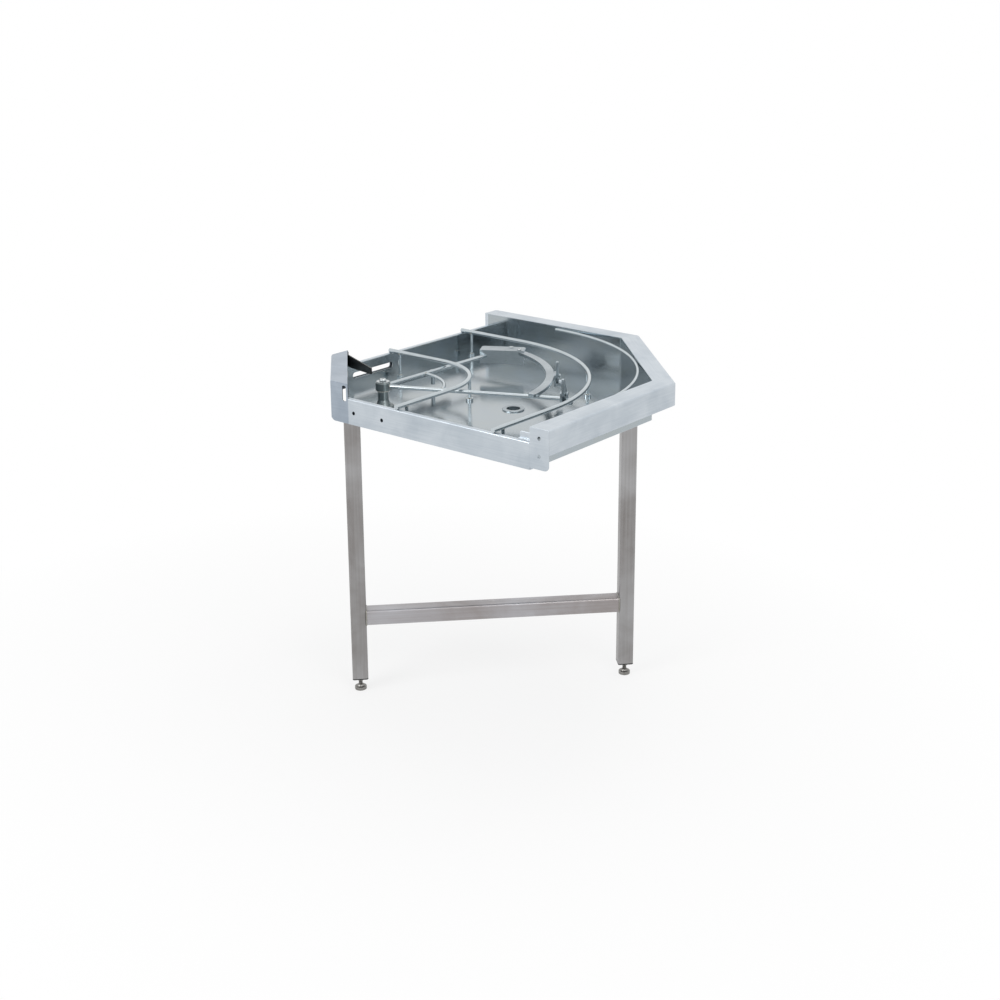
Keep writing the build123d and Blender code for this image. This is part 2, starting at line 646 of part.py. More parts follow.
def swing_brace():
    """Bent rod that ties the two arms together near the hub."""
    arc = CenterArc((PIVOT_X, PIVOT_Y), BRACE_R, ARM_SHORT_DEG, ARM_LONG_DEG - ARM_SHORT_DEG)
    path = Pos(0, 0, ARM_Z) * arc
    section = Plane(origin=path @ 0, z_dir=path % 0) * Circle(BRACE_D / 2)
    brace = sweep(section, path=path)
    for degrees in (ARM_SHORT_DEG, ARM_LONG_DEG):
        bore = Rot(0, 90, 0) * rod(ARM_D / 2, 0, ARM_LONG)
        brace = brace - arm_frame(degrees, ARM_Z) * bore
    return brace


def gusset_line():
    """The long arm's end, the direction from there to the carrier, and the distance."""
    start = polar(ARM_LONG, ARM_LONG_DEG)
    end = on_carrier(CARRIER_R, carrier_ends()[1] - GUSSET_MEET_DEG)
    reach = math.dist(start, end)
    return start, ((end[0] - start[0]) / reach, (end[1] - start[1]) / reach), reach


def gusset_frame():
    """Frame at the long arm's end: X along the web to the carrier, Y away from the arm, Z up."""
    start, way, _ = gusset_line()
    return Plane(origin=(*start, ARM_Z), x_dir=(*way, 0), z_dir=(0, 0, 1))


def gusset_bolt_places():
    """Tops of the two holes through the gusset's flange and the carrier's end."""
    last = carrier_ends()[1] - GUSSET_BOLT_DEG
    return [Pos(*on_carrier(CARRIER_R, last - step * GUSSET_BOLT_PITCH_DEG), CARRIER_TOP) for step in range(2)]


def carrier():
    """Arc of flat bar that lies on the arms and carries the middle pawl."""
    start, end = carrier_ends()
    arc = carrier_sector(CARRIER_R - CARRIER_W / 2, CARRIER_R + CARRIER_W / 2, start, end,
                         CARRIER_TOP - CARRIER_T, CARRIER_TOP)
    arc = fillet(arc.edges().filter_by(Axis.Z), CARRIER_W / 4)
    for spot in gusset_bolt_places():
        arc = arc - spot * rod(PAWL_PIN_D / 2 + HOLE_CLEARANCE, -2 * CARRIER_T, CARRIER_T)
    return arc


def carrier_gusset():
    """Angle that joins the long arm to the carrier: web behind the arm's end, flange over the carrier."""
    reach = gusset_line()[2]
    top = CARRIER_TOP - ARM_Z
    web = block(-GUSSET_LAP, reach, 0, GUSSET_T, -ARM_D / 2 - GUSSET_DROP, top)
    flange = block(-GUSSET_LAP, reach, 0, GUSSET_WIDTH, top, top + GUSSET_T)
    flange = fillet(flange.edges().filter_by(Axis.Z).group_by(Axis.Y)[-1], BEND)
    angle = gusset_frame() * (web + flange)
    angle = angle - carrier_sector(CARRIER_R - CARRIER_W / 2, CARRIER_R + CARRIER_W / 2, 0, 120,
                                   CARRIER_TOP - CARRIER_T, CARRIER_TOP)
    for spot in gusset_bolt_places():
        angle = angle - spot * rod(PAWL_PIN_D / 2 + HOLE_CLEARANCE, -CARRIER_T / 2, 2 * GUSSET_T)
    return angle


def gusset_bolts():
    """Two low-headed bolts with nuts under the carrier."""
    bolts = []
    for spot in gusset_bolt_places():
        head = rod(0.9 * PAWL_PIN_D, GUSSET_T, GUSSET_T + 0.5 * PAWL_PIN_D)
        shank = rod(PAWL_PIN_D / 2, -CARRIER_T - PAWL_PIN_D, GUSSET_T)
        nut = hexagon(1.7 * PAWL_PIN_D, -CARRIER_T - 0.8 * PAWL_PIN_D, -CARRIER_T)
        bolts.append(spot * (head + shank + nut))
    return Compound(children=bolts)


def drive_bar():
    """Flat bar under the long arm, with the hole for the drive pin."""
    top = -ARM_D / 2
    plan = Pos(DRIVE_BAR_LENGTH / 2, drive_pin_offset()) * RectangleRounded(
        DRIVE_BAR_LENGTH, DRIVE_BAR_W, DRIVE_BAR_W / 3)
    bar = upward(Pos(0, 0, top - DRIVE_BAR_T) * plan, DRIVE_BAR_T)
    bar = bar - Pos(DRIVE_PIN_R, drive_pin_offset(), 0) * rod(DRIVE_PIN_NECK_D / 2, -RIM_SKIRT, 0)
    bar = arm_frame(ARM_LONG_DEG, ARM_Z) * bar
    return bar - PIVOT * rod(HUB_D / 2, 0, RIM_TOP)


def drive_pin_offset():
    """Sideways distance from the long arm's centre line to the drive pin."""
    return (ARM_D + DRIVE_BAR_W) / 2 - ARM_D / 2


def drive_pin():
    """Shouldered pin that the machine's push bar hooks onto, riveted over above the drive bar."""
    top = -ARM_D / 2
    shoulder = top - DRIVE_BAR_T
    head = rod(0.7 * DRIVE_PIN_D, top, top + 0.4 * DRIVE_PIN_D)
    neck = rod(DRIVE_PIN_NECK_D / 2, shoulder, top)
    shank = rod(DRIVE_PIN_D / 2, shoulder - DRIVE_PIN_DROP, shoulder)
    shank = chamfer(shank.edges().group_by(Axis.Z)[0], 1.0)
    return arm_frame(ARM_LONG_DEG, ARM_Z) * Pos(DRIVE_PIN_R, drive_pin_offset(), 0) * (head + neck + shank)


def weight_centre():
    """Centre of a pawl's weight in the side view."""
    angle = math.radians(PAWL_WEIGHT_DEG)
    return (-PAWL_WEIGHT_REACH * math.cos(angle), -PAWL_WEIGHT_REACH * math.sin(angle))


def stop_centre():
    """Centre of the stop in the side view: it lies against the front of the weight's arm."""
    angle = math.radians(PAWL_WEIGHT_DEG)
    side = (PAWL_BOSS_D + STOP_D) / 2 + STOP_GAP
    return (-STOP_ALONG * math.cos(angle) + side * math.sin(angle),
            -STOP_ALONG * math.sin(angle) - side * math.cos(angle))


def pawl(frame):
    """Gravity pawl: fin, boss and weight."""
    boss = Circle(PAWL_BOSS_D / 2)
    fin_lines = [*boss.edges(), Line((PAWL_FACE, 0), (PAWL_FACE, PAWL_TOP)),
                 Line((PAWL_FACE, PAWL_TOP), (PAWL_FACE - PAWL_TIP, PAWL_TOP))]
    fin = make_hull(fin_lines)
    tip = fin.vertices().group_by(Axis.Y)[-1]
    fin = fillet(tip, PAWL_TIP / 3)
    weight = Pos(*weight_centre()) * Circle(PAWL_BOSS_D / 2)
    tail = make_hull([*boss.edges(), *weight.edges()])
    bore = Circle(PAWL_PIN_D / 2 + RUN_FIT)
    body = outward(fin + tail - bore, RUN_GAP, RUN_GAP + PAWL_T)
    body = body + outward(weight, RUN_GAP, RUN_GAP + PAWL_WEIGHT_T)
    return frame * body


def pawl_lug(frame):
    """Plate welded to the carrier or the short arm's end: pin hole above, stop below."""
    low = -PAWL_HINGE_RISE - ARM_D / 2
    stop_x, stop_z = stop_centre()
    high = PAWL_BOSS_D / 2
    plate = Pos(0, (high + low) / 2) * RectangleRounded(LUG_LENGTH, high - low, LUG_T)
    ear = make_hull([*(Pos(stop_x, stop_z) * Circle(STOP_D)).edges(), *Circle(PAWL_BOSS_D / 2).edges()])
    lug = outward(plate + ear - Circle(PAWL_PIN_D / 2), -LUG_T, 0)
    stop = outward(Pos(stop_x, stop_z) * Circle(STOP_D / 2), -LUG_T, RUN_GAP + PAWL_T)
    return frame * (lug + stop)


def pawl_pin(frame):
    """Shouldered pin, riveted into the lug, headed outside the pawl."""
    shank = outward(Circle(PAWL_PIN_D / 2), -LUG_T, 2 * RUN_GAP + PAWL_T)
    head = outward(Circle(PAWL_PIN_HEAD_D / 2), 2 * RUN_GAP + PAWL_T, 2 * RUN_GAP + PAWL_T + PAWL_PIN_HEAD_H)
    return frame * (shank + head)


def drain_body():
    """Drain: flange with the strainer's seat, a threaded neck through the tray and a plain tail."""
    top = FLOOR + DRAIN_FLANGE_T
    flange = chamfer(rod(DRAIN_FLANGE_D / 2, FLOOR, top).edges().group_by(Axis.Z)[-1], 1.0)
    thread_end = UNDERSIDE - DRAIN_NUT_H - DRAIN_THREAD_SHOWN
    body = flange + rod(DRAIN_THREAD_D / 2, thread_end, FLOOR) + rod(DRAIN_TAIL_D / 2, top - DRAIN_LENGTH, FLOOR)
    bore = DRAIN_TAIL_D / 2 - DRAIN_WALL
    seat = top - STRAINER_DEPTH - STRAINER_T
    body = body - rod(bore - DRAIN_LEDGE, 0, RIM_TOP)
    body = body - rod(bore, seat, RIM_TOP) - rod(bore, 0, seat - DRAIN_LEDGE)
    return Pos(DRAIN_X, DRAIN_Y, 0) * body


def drain_nut():
    """Ring nut under the tray, with gripping flats."""
    nut = slab(RegularPolygon(DRAIN_NUT_D / 2, 8, major_radius=False), UNDERSIDE - DRAIN_NUT_H, UNDERSIDE)
    return Pos(DRAIN_X, DRAIN_Y, 0) * (nut - rod(DRAIN_THREAD_D / 2, 0, RIM_TOP))


def drain_strainer():
    """Perforated disc on the ledge in the drain's bore."""
    top = FLOOR + DRAIN_FLANGE_T - STRAINER_DEPTH
    disc = Circle(DRAIN_TAIL_D / 2 - DRAIN_WALL - RUN_FIT)
    holes = [Circle(STRAINER_HOLE_D / 2)]
    for ring, count in ((1, 6), (2, 12)):
        radius = ring * 1.6 * STRAINER_HOLE_D
        for location in PolarLocations(radius, count):
            holes.append(location * Circle(STRAINER_HOLE_D / 2))
    return Pos(DRAIN_X, DRAIN_Y, 0) * slab(disc - holes, top - STRAINER_T, top)


def diagonal(shape):
    """Put a piece drawn along X onto the tray's diagonal."""
    return DIAGONAL_PLANE * shape


def leg_places():
    """Distance of each leg's centre along the diagonal."""
    return {"near": LEG_NEAR * ROOT2, "far": LEG_FAR * ROOT2}


def tube_section():
    """Section of the square tube."""
    outer = RectangleRounded(LEG_SIZE, LEG_SIZE, LEG_CORNER)
    return outer - RectangleRounded(LEG_SIZE - 2 * LEG_WALL, LEG_SIZE - 2 * LEG_WALL, LEG_CORNER - LEG_WALL)


def leg(where):
    """Square tube leg with its cross hole."""
    tube = slab(tube_section(), LEG_FOOT + INSERT_FLANGE, CHANNEL_BASE)
    hole = Pos(0, 0, CHANNEL_BASE - LEG_BOLT_DROP) * Rot(90, 0, 0) * Cylinder(
        LEG_BOLT_D / 2 + HOLE_CLEARANCE, 2 * LEG_SIZE)
    return diagonal(Pos(leg_places()[where], 0, 0) * (tube - hole))


def under_channel():
    """Channel under the tray that takes both legs and stiffens the floor."""
    places = leg_places()
    start = places["near"] - LEG_SIZE / 2 - CHANNEL_OVERHANG
    end = places["far"] + LEG_SIZE / 2 + CHANNEL_OVERHANG
    inner = LEG_SIZE / 2 + CHANNEL_SIDE_GAP
    outer = inner + CHANNEL_T
    channel = block(start, end, -outer, outer, UNDERSIDE - CHANNEL_H, UNDERSIDE)
    channel = channel - block(start - 1, end + 1, -inner, inner, UNDERSIDE - CHANNEL_H - 1, CHANNEL_BASE)
    for place_x in places.values():
        channel = channel - Pos(place_x, 0, CHANNEL_BASE - LEG_BOLT_DROP) * Rot(90, 0, 0) * Cylinder(
            LEG_BOLT_D / 2 + HOLE_CLEARANCE, 2 * LEG_SIZE)
    channel = diagonal(channel)
    for x, y in channel_studs():
        channel = channel - Pos(x, y, 0) * rod(POST_D / 2 + HOLE_CLEARANCE, 0, RIM_TOP)
    return channel


def channel_studs():
    """Threaded ends that pass the channel: the rails' middle posts and the pivot post."""
    studs = [feet[1] for feet in post_points().values()]
    return studs + [(PIVOT_X, PIVOT_Y)]


def pivot_nut():
    """Nut on the pivot post's threaded end, inside the channel."""
    nut = hexagon(NUT_AF, CHANNEL_BASE - NUT_H, CHANNEL_BASE) - rod(POST_D / 2 + RUN_FIT, 0, RIM_TOP)
    return PIVOT * nut


def leg_bolts():
    """Cross bolts that hold the legs in the channel."""
    outer = LEG_SIZE / 2 + CHANNEL_SIDE_GAP + CHANNEL_T
    bolts = []
    for place_x in leg_places().values():
        shank = rod(LEG_BOLT_D / 2, -outer - NUT_H - 2, outer)
        head = hexagon(NUT_AF, outer, outer + 0.7 * LEG_BOLT_D)
        nut = hexagon(NUT_AF, -outer - NUT_H, -outer)
        bolt = Rot(90, 0, 0) * (shank + head + nut)
        bolts.append(diagonal(Pos(place_x, 0, CHANNEL_BASE - LEG_BOLT_DROP) * bolt))
    return Compound(children=bolts)


def crossbar():
    """Square tube between the legs."""
    places = leg_places()
    start = places["near"] + LEG_SIZE / 2
    length = places["far"] - LEG_SIZE / 2 - start
    bar = Rot(0, 90, 0) * slab(tube_section(), 0, length)
    return diagonal(Pos(start, 0, BAR_UNDERSIDE + LEG_SIZE / 2) * bar)


def foot_insert(where):
    """Plastic plug in the leg's lower end, with the foot's thread."""
    top = LEG_FOOT + INSERT_FLANGE
    plug_size = LEG_SIZE - 2 * LEG_WALL - 2 * INSERT_GAP
    flange = slab(RectangleRounded(LEG_SIZE, LEG_SIZE, LEG_CORNER), LEG_FOOT, top)
    plug = slab(RectangleRounded(plug_size, plug_size, LEG_CORNER - LEG_WALL), top, top + INSERT_DEPTH)
    insert = flange + plug - rod(FOOT_STEM_D / 2 + RUN_FIT, 0, RIM_TOP)
    return diagonal(Pos(leg_places()[where], 0, 0) * insert)


def foot(where):
    """Adjustable foot: pad, cone and stem."""
    stem = FOOT_STEM_D / 2
    pad = FOOT_PAD_D / 2
    outline = Polyline(
        (0, 0), (pad - 1.5, 0), (pad, 1.5), (pad, FOOT_PAD_H), (stem + 2, FOOT_PAD_H + FOOT_CONE_H),
        (stem, FOOT_PAD_H + FOOT_CONE_H), (stem, LEG_FOOT + FOOT_STEM_IN), (0, LEG_FOOT + FOOT_STEM_IN),
        close=True)
    return diagonal(Pos(leg_places()[where], 0, 0) * revolve(make_face(Plane.XZ * outline), Axis.Z))


def foot_locknut(where):
    """Nut that locks the foot under the insert."""
    nut = hexagon(LOCKNUT_AF, LEG_FOOT - LOCKNUT_H, LEG_FOOT) - rod(FOOT_STEM_D / 2 + RUN_FIT, 0, RIM_TOP)
    return diagonal(Pos(leg_places()[where], 0, 0) * nut)


def nodes():
    """Every sub-part by the name of its file."""
    parts = {
        "basin": basin(),
        "outer_rim": outer_rim(),
        "rim_end_front": rim_end(),
        "rim_end_left": mirrored(rim_end()),
        "corner_guard": corner_guard(),
        "guard_end_front": guard_end(),
        "guard_end_left": mirrored(guard_end()),
        "guide_blade": guide_blade(),
        "guide_blade_screws": blade_screws(),
        "sill_stop": stop_block(),
        "rail_inner": rail("inner", RAIL_IN, BEND_CENTRE_IN),
        "rail_outer": rail("outer", RAIL_OUT, BEND_CENTRE_OUT),
        "rail_inner_nuts": rail_nuts("inner"),
        "rail_outer_nuts": rail_nuts("outer"),
        "corner_rod": corner_rod(),
        "pivot_post": pivot_post(),
        "pivot_nut": pivot_nut(),
        "pivot_bush": pivot_bush(),
        "pivot_washer": pivot_washer(),
        "pivot_screw": pivot_screw(),
        "swing_hub": swing_hub(),
        "swing_arm_long": long_arm(),
        "swing_arm_short": short_arm(),
        "swing_brace": swing_brace(),
        "swing_carrier": carrier(),
        "swing_gusset": carrier_gusset(),
        "swing_gusset_bolts": gusset_bolts(),
        "drive_bar": drive_bar(),
        "drive_pin": drive_pin(),
        "drain_body": drain_body(),
        "drain_nut": drain_nut(),
        "drain_strainer": drain_strainer(),
        "under_channel": under_channel(),
        "leg_bolts": leg_bolts(),
        "crossbar": crossbar(),
    }
    for number, frame in pawl_frames().items():
        parts[f"pawl_{number}"] = pawl(frame)
        parts[f"pawl_lug_{number}"] = pawl_lug(frame)
        parts[f"pawl_pin_{number}"] = pawl_pin(frame)
    for where in leg_places():
        parts[f"leg_{where}"] = leg(where)
        parts[f"foot_insert_{where}"] = foot_insert(where)
        parts[f"foot_{where}"] = foot(where)
        parts[f"foot_locknut_{where}"] = foot_locknut(where)
    return parts


os.makedirs("parts", exist_ok=True)
for node_name, node_shape in nodes().items():
    place(node_name, node_shape)
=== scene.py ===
"""Looks of a rack conveyor's corner section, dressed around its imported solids."""
import logging
import math
from dataclasses import dataclass
from enum import Enum

import bpy
from mathutils import Matrix, Quaternion, Vector


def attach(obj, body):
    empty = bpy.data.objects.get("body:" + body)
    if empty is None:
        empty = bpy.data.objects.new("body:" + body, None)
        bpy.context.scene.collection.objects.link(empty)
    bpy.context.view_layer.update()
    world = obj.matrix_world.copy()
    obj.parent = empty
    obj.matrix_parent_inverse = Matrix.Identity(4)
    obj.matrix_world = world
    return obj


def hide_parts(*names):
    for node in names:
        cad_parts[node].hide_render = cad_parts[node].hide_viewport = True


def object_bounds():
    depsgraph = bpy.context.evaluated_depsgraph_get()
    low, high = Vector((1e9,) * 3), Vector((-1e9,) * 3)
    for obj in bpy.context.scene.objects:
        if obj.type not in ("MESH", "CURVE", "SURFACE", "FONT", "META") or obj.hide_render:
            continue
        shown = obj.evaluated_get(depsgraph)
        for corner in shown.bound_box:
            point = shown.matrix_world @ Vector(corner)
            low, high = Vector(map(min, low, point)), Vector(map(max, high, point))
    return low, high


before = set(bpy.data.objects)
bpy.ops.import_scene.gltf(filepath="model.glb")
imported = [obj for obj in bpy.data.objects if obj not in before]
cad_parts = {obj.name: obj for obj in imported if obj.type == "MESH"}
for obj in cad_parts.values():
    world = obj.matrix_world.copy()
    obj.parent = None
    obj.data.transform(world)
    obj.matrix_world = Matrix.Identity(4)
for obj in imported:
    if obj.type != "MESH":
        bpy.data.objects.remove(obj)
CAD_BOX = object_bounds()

LOG = logging.getLogger("corner_section")
MM = 0.001
DATUM = Vector((289.0, 0.0, 792.0))     # the drawing's datum: centre of the front joint's holes
PHOTO_SIDE = 1000.0                     # pixels


def row(x: float, y: float, z: float) -> Vector:
    """Turn a point of the drawing into the row frame.

    Args:
        x: millimetres along the front open side.
        y: millimetres along the left open side.
        z: millimetres above the floor.

    Returns:
        The point in metres.
    """
    return (Vector((x, y, z)) - DATUM) * MM


def linear(code: str) -> tuple[float, float, float, float]:
    """Turn an sRGB hex colour into linear light.

    Args:
        code: six hex digits.

    Returns:
        Red, green, blue and an opaque alpha.
    """
    channels = [int(code[i:i + 2], 16) / 255 for i in (0, 2, 4)]
    return (*(c / 12.92 if c <= 0.04045 else ((c + 0.055) / 1.055) ** 2.4 for c in channels), 1.0)


def add(tree: bpy.types.NodeTree, kind: str, inputs: dict | None = None, **settings) -> bpy.types.Node:
    """Add a node with its settings and links.

    Args:
        tree: node tree that gets the node.
        kind: type name of the node.
        inputs: value, or output socket to link, for each input by name or number.
        **settings: the node's own properties.

    Returns:
        The new node.
    """
    made = tree.nodes.new(kind)
    for key, value in settings.items():
        setattr(made, key, value)
    for key, value in (inputs or {}).items():
        if isinstance(value, bpy.types.NodeSocket):
            tree.links.new(value, made.inputs[key])
        else:
            made.inputs[key].default_value = value
    return made


class Run(Enum):
    """Which way the grain of a face that looks up or down runs."""

    ALONG_X = (1.0, 0.0, 0.0)
    ALONG_Y = (0.0, 1.0, 0.0)
    ALONG_DIAGONAL = (0.7071, 0.7071, 0.0)
    ROUND_THE_RIM = (0.7071, -0.7071, 0.0)


class Upright(Enum):
    """Which way the grain of an upright face runs."""

    LEVEL = "level"
    STANDING = "standing"


class ShadedHollow(Enum):
    """Where a sheet gets painted shade, in a hollow."""

    NONE = "none"
    BEHIND_WALL = "behind the wall that the guard hides"
    INSIDE_FOLD = "inside the guard's fold"


@dataclass(frozen=True)
class Grain:
    """Lines that a belt or wheel leaves in steel, all one way.

    Attributes:
        length_mm: length of a line.
        width_mm: spacing of the lines, drawn coarser than the real 0.05 mm so that it shows.
        relief: strength of the lines in the bump.
        gloss: how far the lines move the roughness.
    """

    length_mm: float = 70.0
    width_mm: float = 0.9
    relief: float = 0.10
    gloss: float = 0.10


@dataclass(frozen=True)
class Steel:
    """Stainless steel, with the finish that its making gave it.

    Attributes:
        name: common name of the material.
        colour: sRGB hex of clean metal.
        tint: sRGB hex of the same metal where it is dulled; on the tubes, of warm patches of painted reflection.
        roughness: typical roughness of the finish.
        grain: lines in the surface.
        run: grain on level faces.
        upright: grain on upright faces.
        cloud_mm: size of the duller patches that handling and water leave; on the tubes, of warm patches of painted
            reflection.
        cloud: strength of those patches.
        anisotropy: stretch of the highlight across the grain.
        inside_colour: sRGB hex of the tray's inside, where it differs, darkened as painted shade.
        inside_roughness: roughness of the tray's inside.
        hollow: where the sheet gets painted shade, in a hollow.
    """

    name: str
    colour: str
    tint: str
    roughness: float
    grain: Grain = Grain()
    run: Run = Run.ALONG_X
    upright: Upright = Upright.LEVEL
    cloud_mm: float = 90.0
    cloud: float = 0.5
    anisotropy: float = 0.0
    inside_colour: str = ""
    inside_roughness: float = 0.0
    hollow: ShadedHollow = ShadedHollow.NONE

    def grain_vector(self, tree: bpy.types.NodeTree, place: bpy.types.NodeSocket,
                     normal: bpy.types.NodeSocket) -> bpy.types.NodeSocket:
        """Lay the coordinates so that X follows the grain.

        Args:
            tree: the material's nodes.
            place: object coordinates in metres.
            normal: the face's direction.

        Returns:
            Coordinates along and across the grain, in line lengths and line spacings.
        """
        facing = add(tree, "ShaderNodeSeparateXYZ", {0: normal})
        steep = add(tree, "ShaderNodeMath", {0: facing.outputs["Z"]}, operation="ABSOLUTE")
        level = add(tree, "ShaderNodeMath", {0: steep.outputs[0], 1: 0.8}, operation="GREATER_THAN")
        tangent = add(tree, "ShaderNodeVectorMath", {0: (0, 0, 1), 1: normal}, operation="CROSS_PRODUCT")
        tangent = add(tree, "ShaderNodeVectorMath", {0: tangent.outputs[0]}, operation="NORMALIZE")
        run = self.level_run(tree, place)
        along = add(tree, "ShaderNodeMix", {"Factor": level.outputs[0], "A": tangent.outputs[0], "B": run},
                    data_type="VECTOR")
        along_socket = along.outputs[1]
        across = add(tree, "ShaderNodeVectorMath", {0: normal, 1: along_socket}, operation="CROSS_PRODUCT")
        u = add(tree, "ShaderNodeVectorMath", {0: place, 1: along_socket}, operation="DOT_PRODUCT")
        v = add(tree, "ShaderNodeVectorMath", {0: place, 1: across.outputs[0]}, operation="DOT_PRODUCT")
        first, second = u.outputs["Value"], v.outputs["Value"]
        if self.upright is Upright.STANDING:
            first, second = second, first
        long_way = add(tree, "ShaderNodeMath", {0: first, 1: 1 / (self.grain.length_mm * MM)}, operation="MULTIPLY")
        short_way = add(tree, "ShaderNodeMath", {0: second, 1: 1 / (self.grain.width_mm * MM)}, operation="MULTIPLY")
        laid = add(tree, "ShaderNodeCombineXYZ", {"X": long_way.outputs[0], "Y": short_way.outputs[0]})
        return laid.outputs[0]

    def level_run(self, tree: bpy.types.NodeTree, place: bpy.types.NodeSocket) -> bpy.types.NodeSocket:
        """Direction of the grain on level faces.

        Args:
            tree: the material's nodes.
            place: object coordinates in metres.

        Returns:
            The direction as a vector socket.
        """
        if self.run is not Run.ROUND_THE_RIM:
            return add(tree, "ShaderNodeCombineXYZ", dict(zip("XYZ", self.run.value))).outputs[0]
        turn = row(Rims.plan - Rims.chamfer, Rims.plan - Rims.chamfer, 0)
        parts = add(tree, "ShaderNodeSeparateXYZ", {0: place})
        past_x = add(tree, "ShaderNodeMath", {0: parts.outputs["X"], 1: turn.x}, operation="GREATER_THAN")
        past_y = add(tree, "ShaderNodeMath", {0: parts.outputs["Y"], 1: turn.y}, operation="GREATER_THAN")
        corner = add(tree, "ShaderNodeMath", {0: past_x.outputs[0], 1: past_y.outputs[0]}, operation="MULTIPLY")
        side = add(tree, "ShaderNodeMix", {"Factor": past_x.outputs[0], "A": Run.ALONG_X.value,
                                           "B": Run.ALONG_Y.value}, data_type="VECTOR")
        chosen = add(tree, "ShaderNodeMix", {"Factor": corner.outputs[0], "A": side.outputs[1],
                                             "B": Run.ROUND_THE_RIM.value}, data_type="VECTOR")
        return chosen.outputs[1]

    def build(self) -> bpy.types.Material:
        """Make the material.

        Returns:
            The finished material.
        """
        material = bpy.data.materials.new(self.name)
        material.use_nodes = True
        tree = material.node_tree
        shader = tree.nodes["Principled BSDF"]
        where = add(tree, "ShaderNodeTexCoord")
        place, normal = where.outputs["Object"], where.outputs["Normal"]
        laid = self.grain_vector(tree, place, normal)
        lines = add(tree, "ShaderNodeTexNoise", {"Vector": laid, "Scale": 1.0, "Detail": 3.0, "Roughness": 0.6})
        coarse_vector = add(tree, "ShaderNodeVectorMath", {0: laid, 1: (0.6, 0.22, 1.0)}, operation="MULTIPLY")
        bands = add(tree, "ShaderNodeTexNoise", {"Vector": coarse_vector.outputs[0], "Scale": 1.0, "Detail": 2.0})
        clouds = add(tree, "ShaderNodeTexNoise", {"Vector": place, "Scale": 1 / (self.cloud_mm * MM), "Detail": 4.0,
                                                 "Roughness": 0.55, "Distortion": 0.6})
        streaks = add(tree, "ShaderNodeMath", {0: lines.outputs["Fac"], 1: bands.outputs["Fac"]}, operation="ADD")
        colour_fac = add(tree, "ShaderNodeMapRange", {"Value": clouds.outputs["Fac"], "From Min": 0.35,
                                                     "From Max": 0.7, "To Min": 0.0, "To Max": self.cloud})
        streak_fac = add(tree, "ShaderNodeMapRange", {"Value": streaks.outputs[0], "From Min": 0.7, "From Max": 1.3,
                                                     "To Min": 0.0, "To Max": 0.35})
        darkening = add(tree, "ShaderNodeMath", {0: colour_fac.outputs[0], 1: streak_fac.outputs[0]}, operation="ADD",
                   use_clamp=True)
        clean, rough = self.zones(tree, place, normal)
        # On the tubes the tint's warm patches are painted reflection.
        colour = add(tree, "ShaderNodeMix", {"Factor": darkening.outputs[0], "A": clean, "B": linear(self.tint)},
                     data_type="RGBA")
        tree.links.new(colour.outputs[2], shader.inputs["Base Color"])
        shift = add(tree, "ShaderNodeMath", {0: streaks.outputs[0], 1: self.grain.gloss, 2: -self.grain.gloss},
                    operation="MULTIPLY_ADD")
        patches = add(tree, "ShaderNodeMath", {0: colour_fac.outputs[0], 1: 0.08, 2: shift.outputs[0]},
                      operation="MULTIPLY_ADD")
        roughness = add(tree, "ShaderNodeMath", {0: patches.outputs[0], 1: rough}, operation="ADD", use_clamp=True)
        tree.links.new(roughness.outputs[0], shader.inputs["Roughness"])
        shader.inputs["Metallic"].default_value = 1.0
        shader.inputs["Anisotropic"].default_value = self.anisotropy
        bump = add(tree, "ShaderNodeBump", {"Height": streaks.outputs[0], "Strength": self.grain.relief,
                                            "Distance": 0.1 * MM})
        tree.links.new(bump.outputs[0], shader.inputs["Normal"])
        return material

    def zones(self, tree: bpy.types.NodeTree, place: bpy.types.NodeSocket, normal: bpy.types.NodeSocket) -> tuple:
        """Colour and roughness of clean metal, with the tray's smoother inside, darkened as painted shade, and
        painted shade in a hollow.

        Args:
            tree: the material's nodes.
            place: object coordinates in metres.
            normal: the face's direction.

        Returns:
            A colour and a roughness, each a value or a socket.
        """
        colour, rough = linear(self.colour), self.roughness
        if self.inside_colour:
            colour, rough = self.inside(tree, place)
        if self.hollow is ShadedHollow.NONE:
            return colour, rough
        back = self.back(tree, place, normal)
        # Painted shade: faces in the hollow get a dark grey colour and a flat roughness.
        darkening = add(tree, "ShaderNodeMix", {"Factor": back, "A": colour, "B": linear("2b3035")}, data_type="RGBA")
        flat = add(tree, "ShaderNodeMix", {"Factor": back, "A": rough, "B": 0.6}, data_type="FLOAT")
        return darkening.outputs[2], flat.outputs[0]

    def back(self, tree: bpy.types.NodeTree, place: bpy.types.NodeSocket,
             normal: bpy.types.NodeSocket) -> bpy.types.NodeSocket:
        """Find the faces that get painted shade: the tray behind the guard's wall, and the guard's faces that look
        down into its fold.

        Args:
            tree: the material's nodes.
            place: object coordinates in metres.
            normal: the face's direction.

        Returns:
            1 on those faces, 0 elsewhere.
        """
        if self.hollow is ShadedHollow.BEHIND_WALL:
            along = add(tree, "ShaderNodeVectorMath", {0: place, 1: (1, 1, 0)}, operation="DOT_PRODUCT")
            wall = row(Rims.guard_reach - 1.5, 0, 0)
            return add(tree, "ShaderNodeMath", {0: along.outputs["Value"], 1: wall.x + wall.y},
                       operation="LESS_THAN").outputs[0]
        inward = add(tree, "ShaderNodeVectorMath", {0: normal, 1: (0.7071, 0.7071, -1.0)}, operation="DOT_PRODUCT")
        return add(tree, "ShaderNodeMath", {0: inward.outputs["Value"], 1: 0.5}, operation="GREATER_THAN").outputs[0]

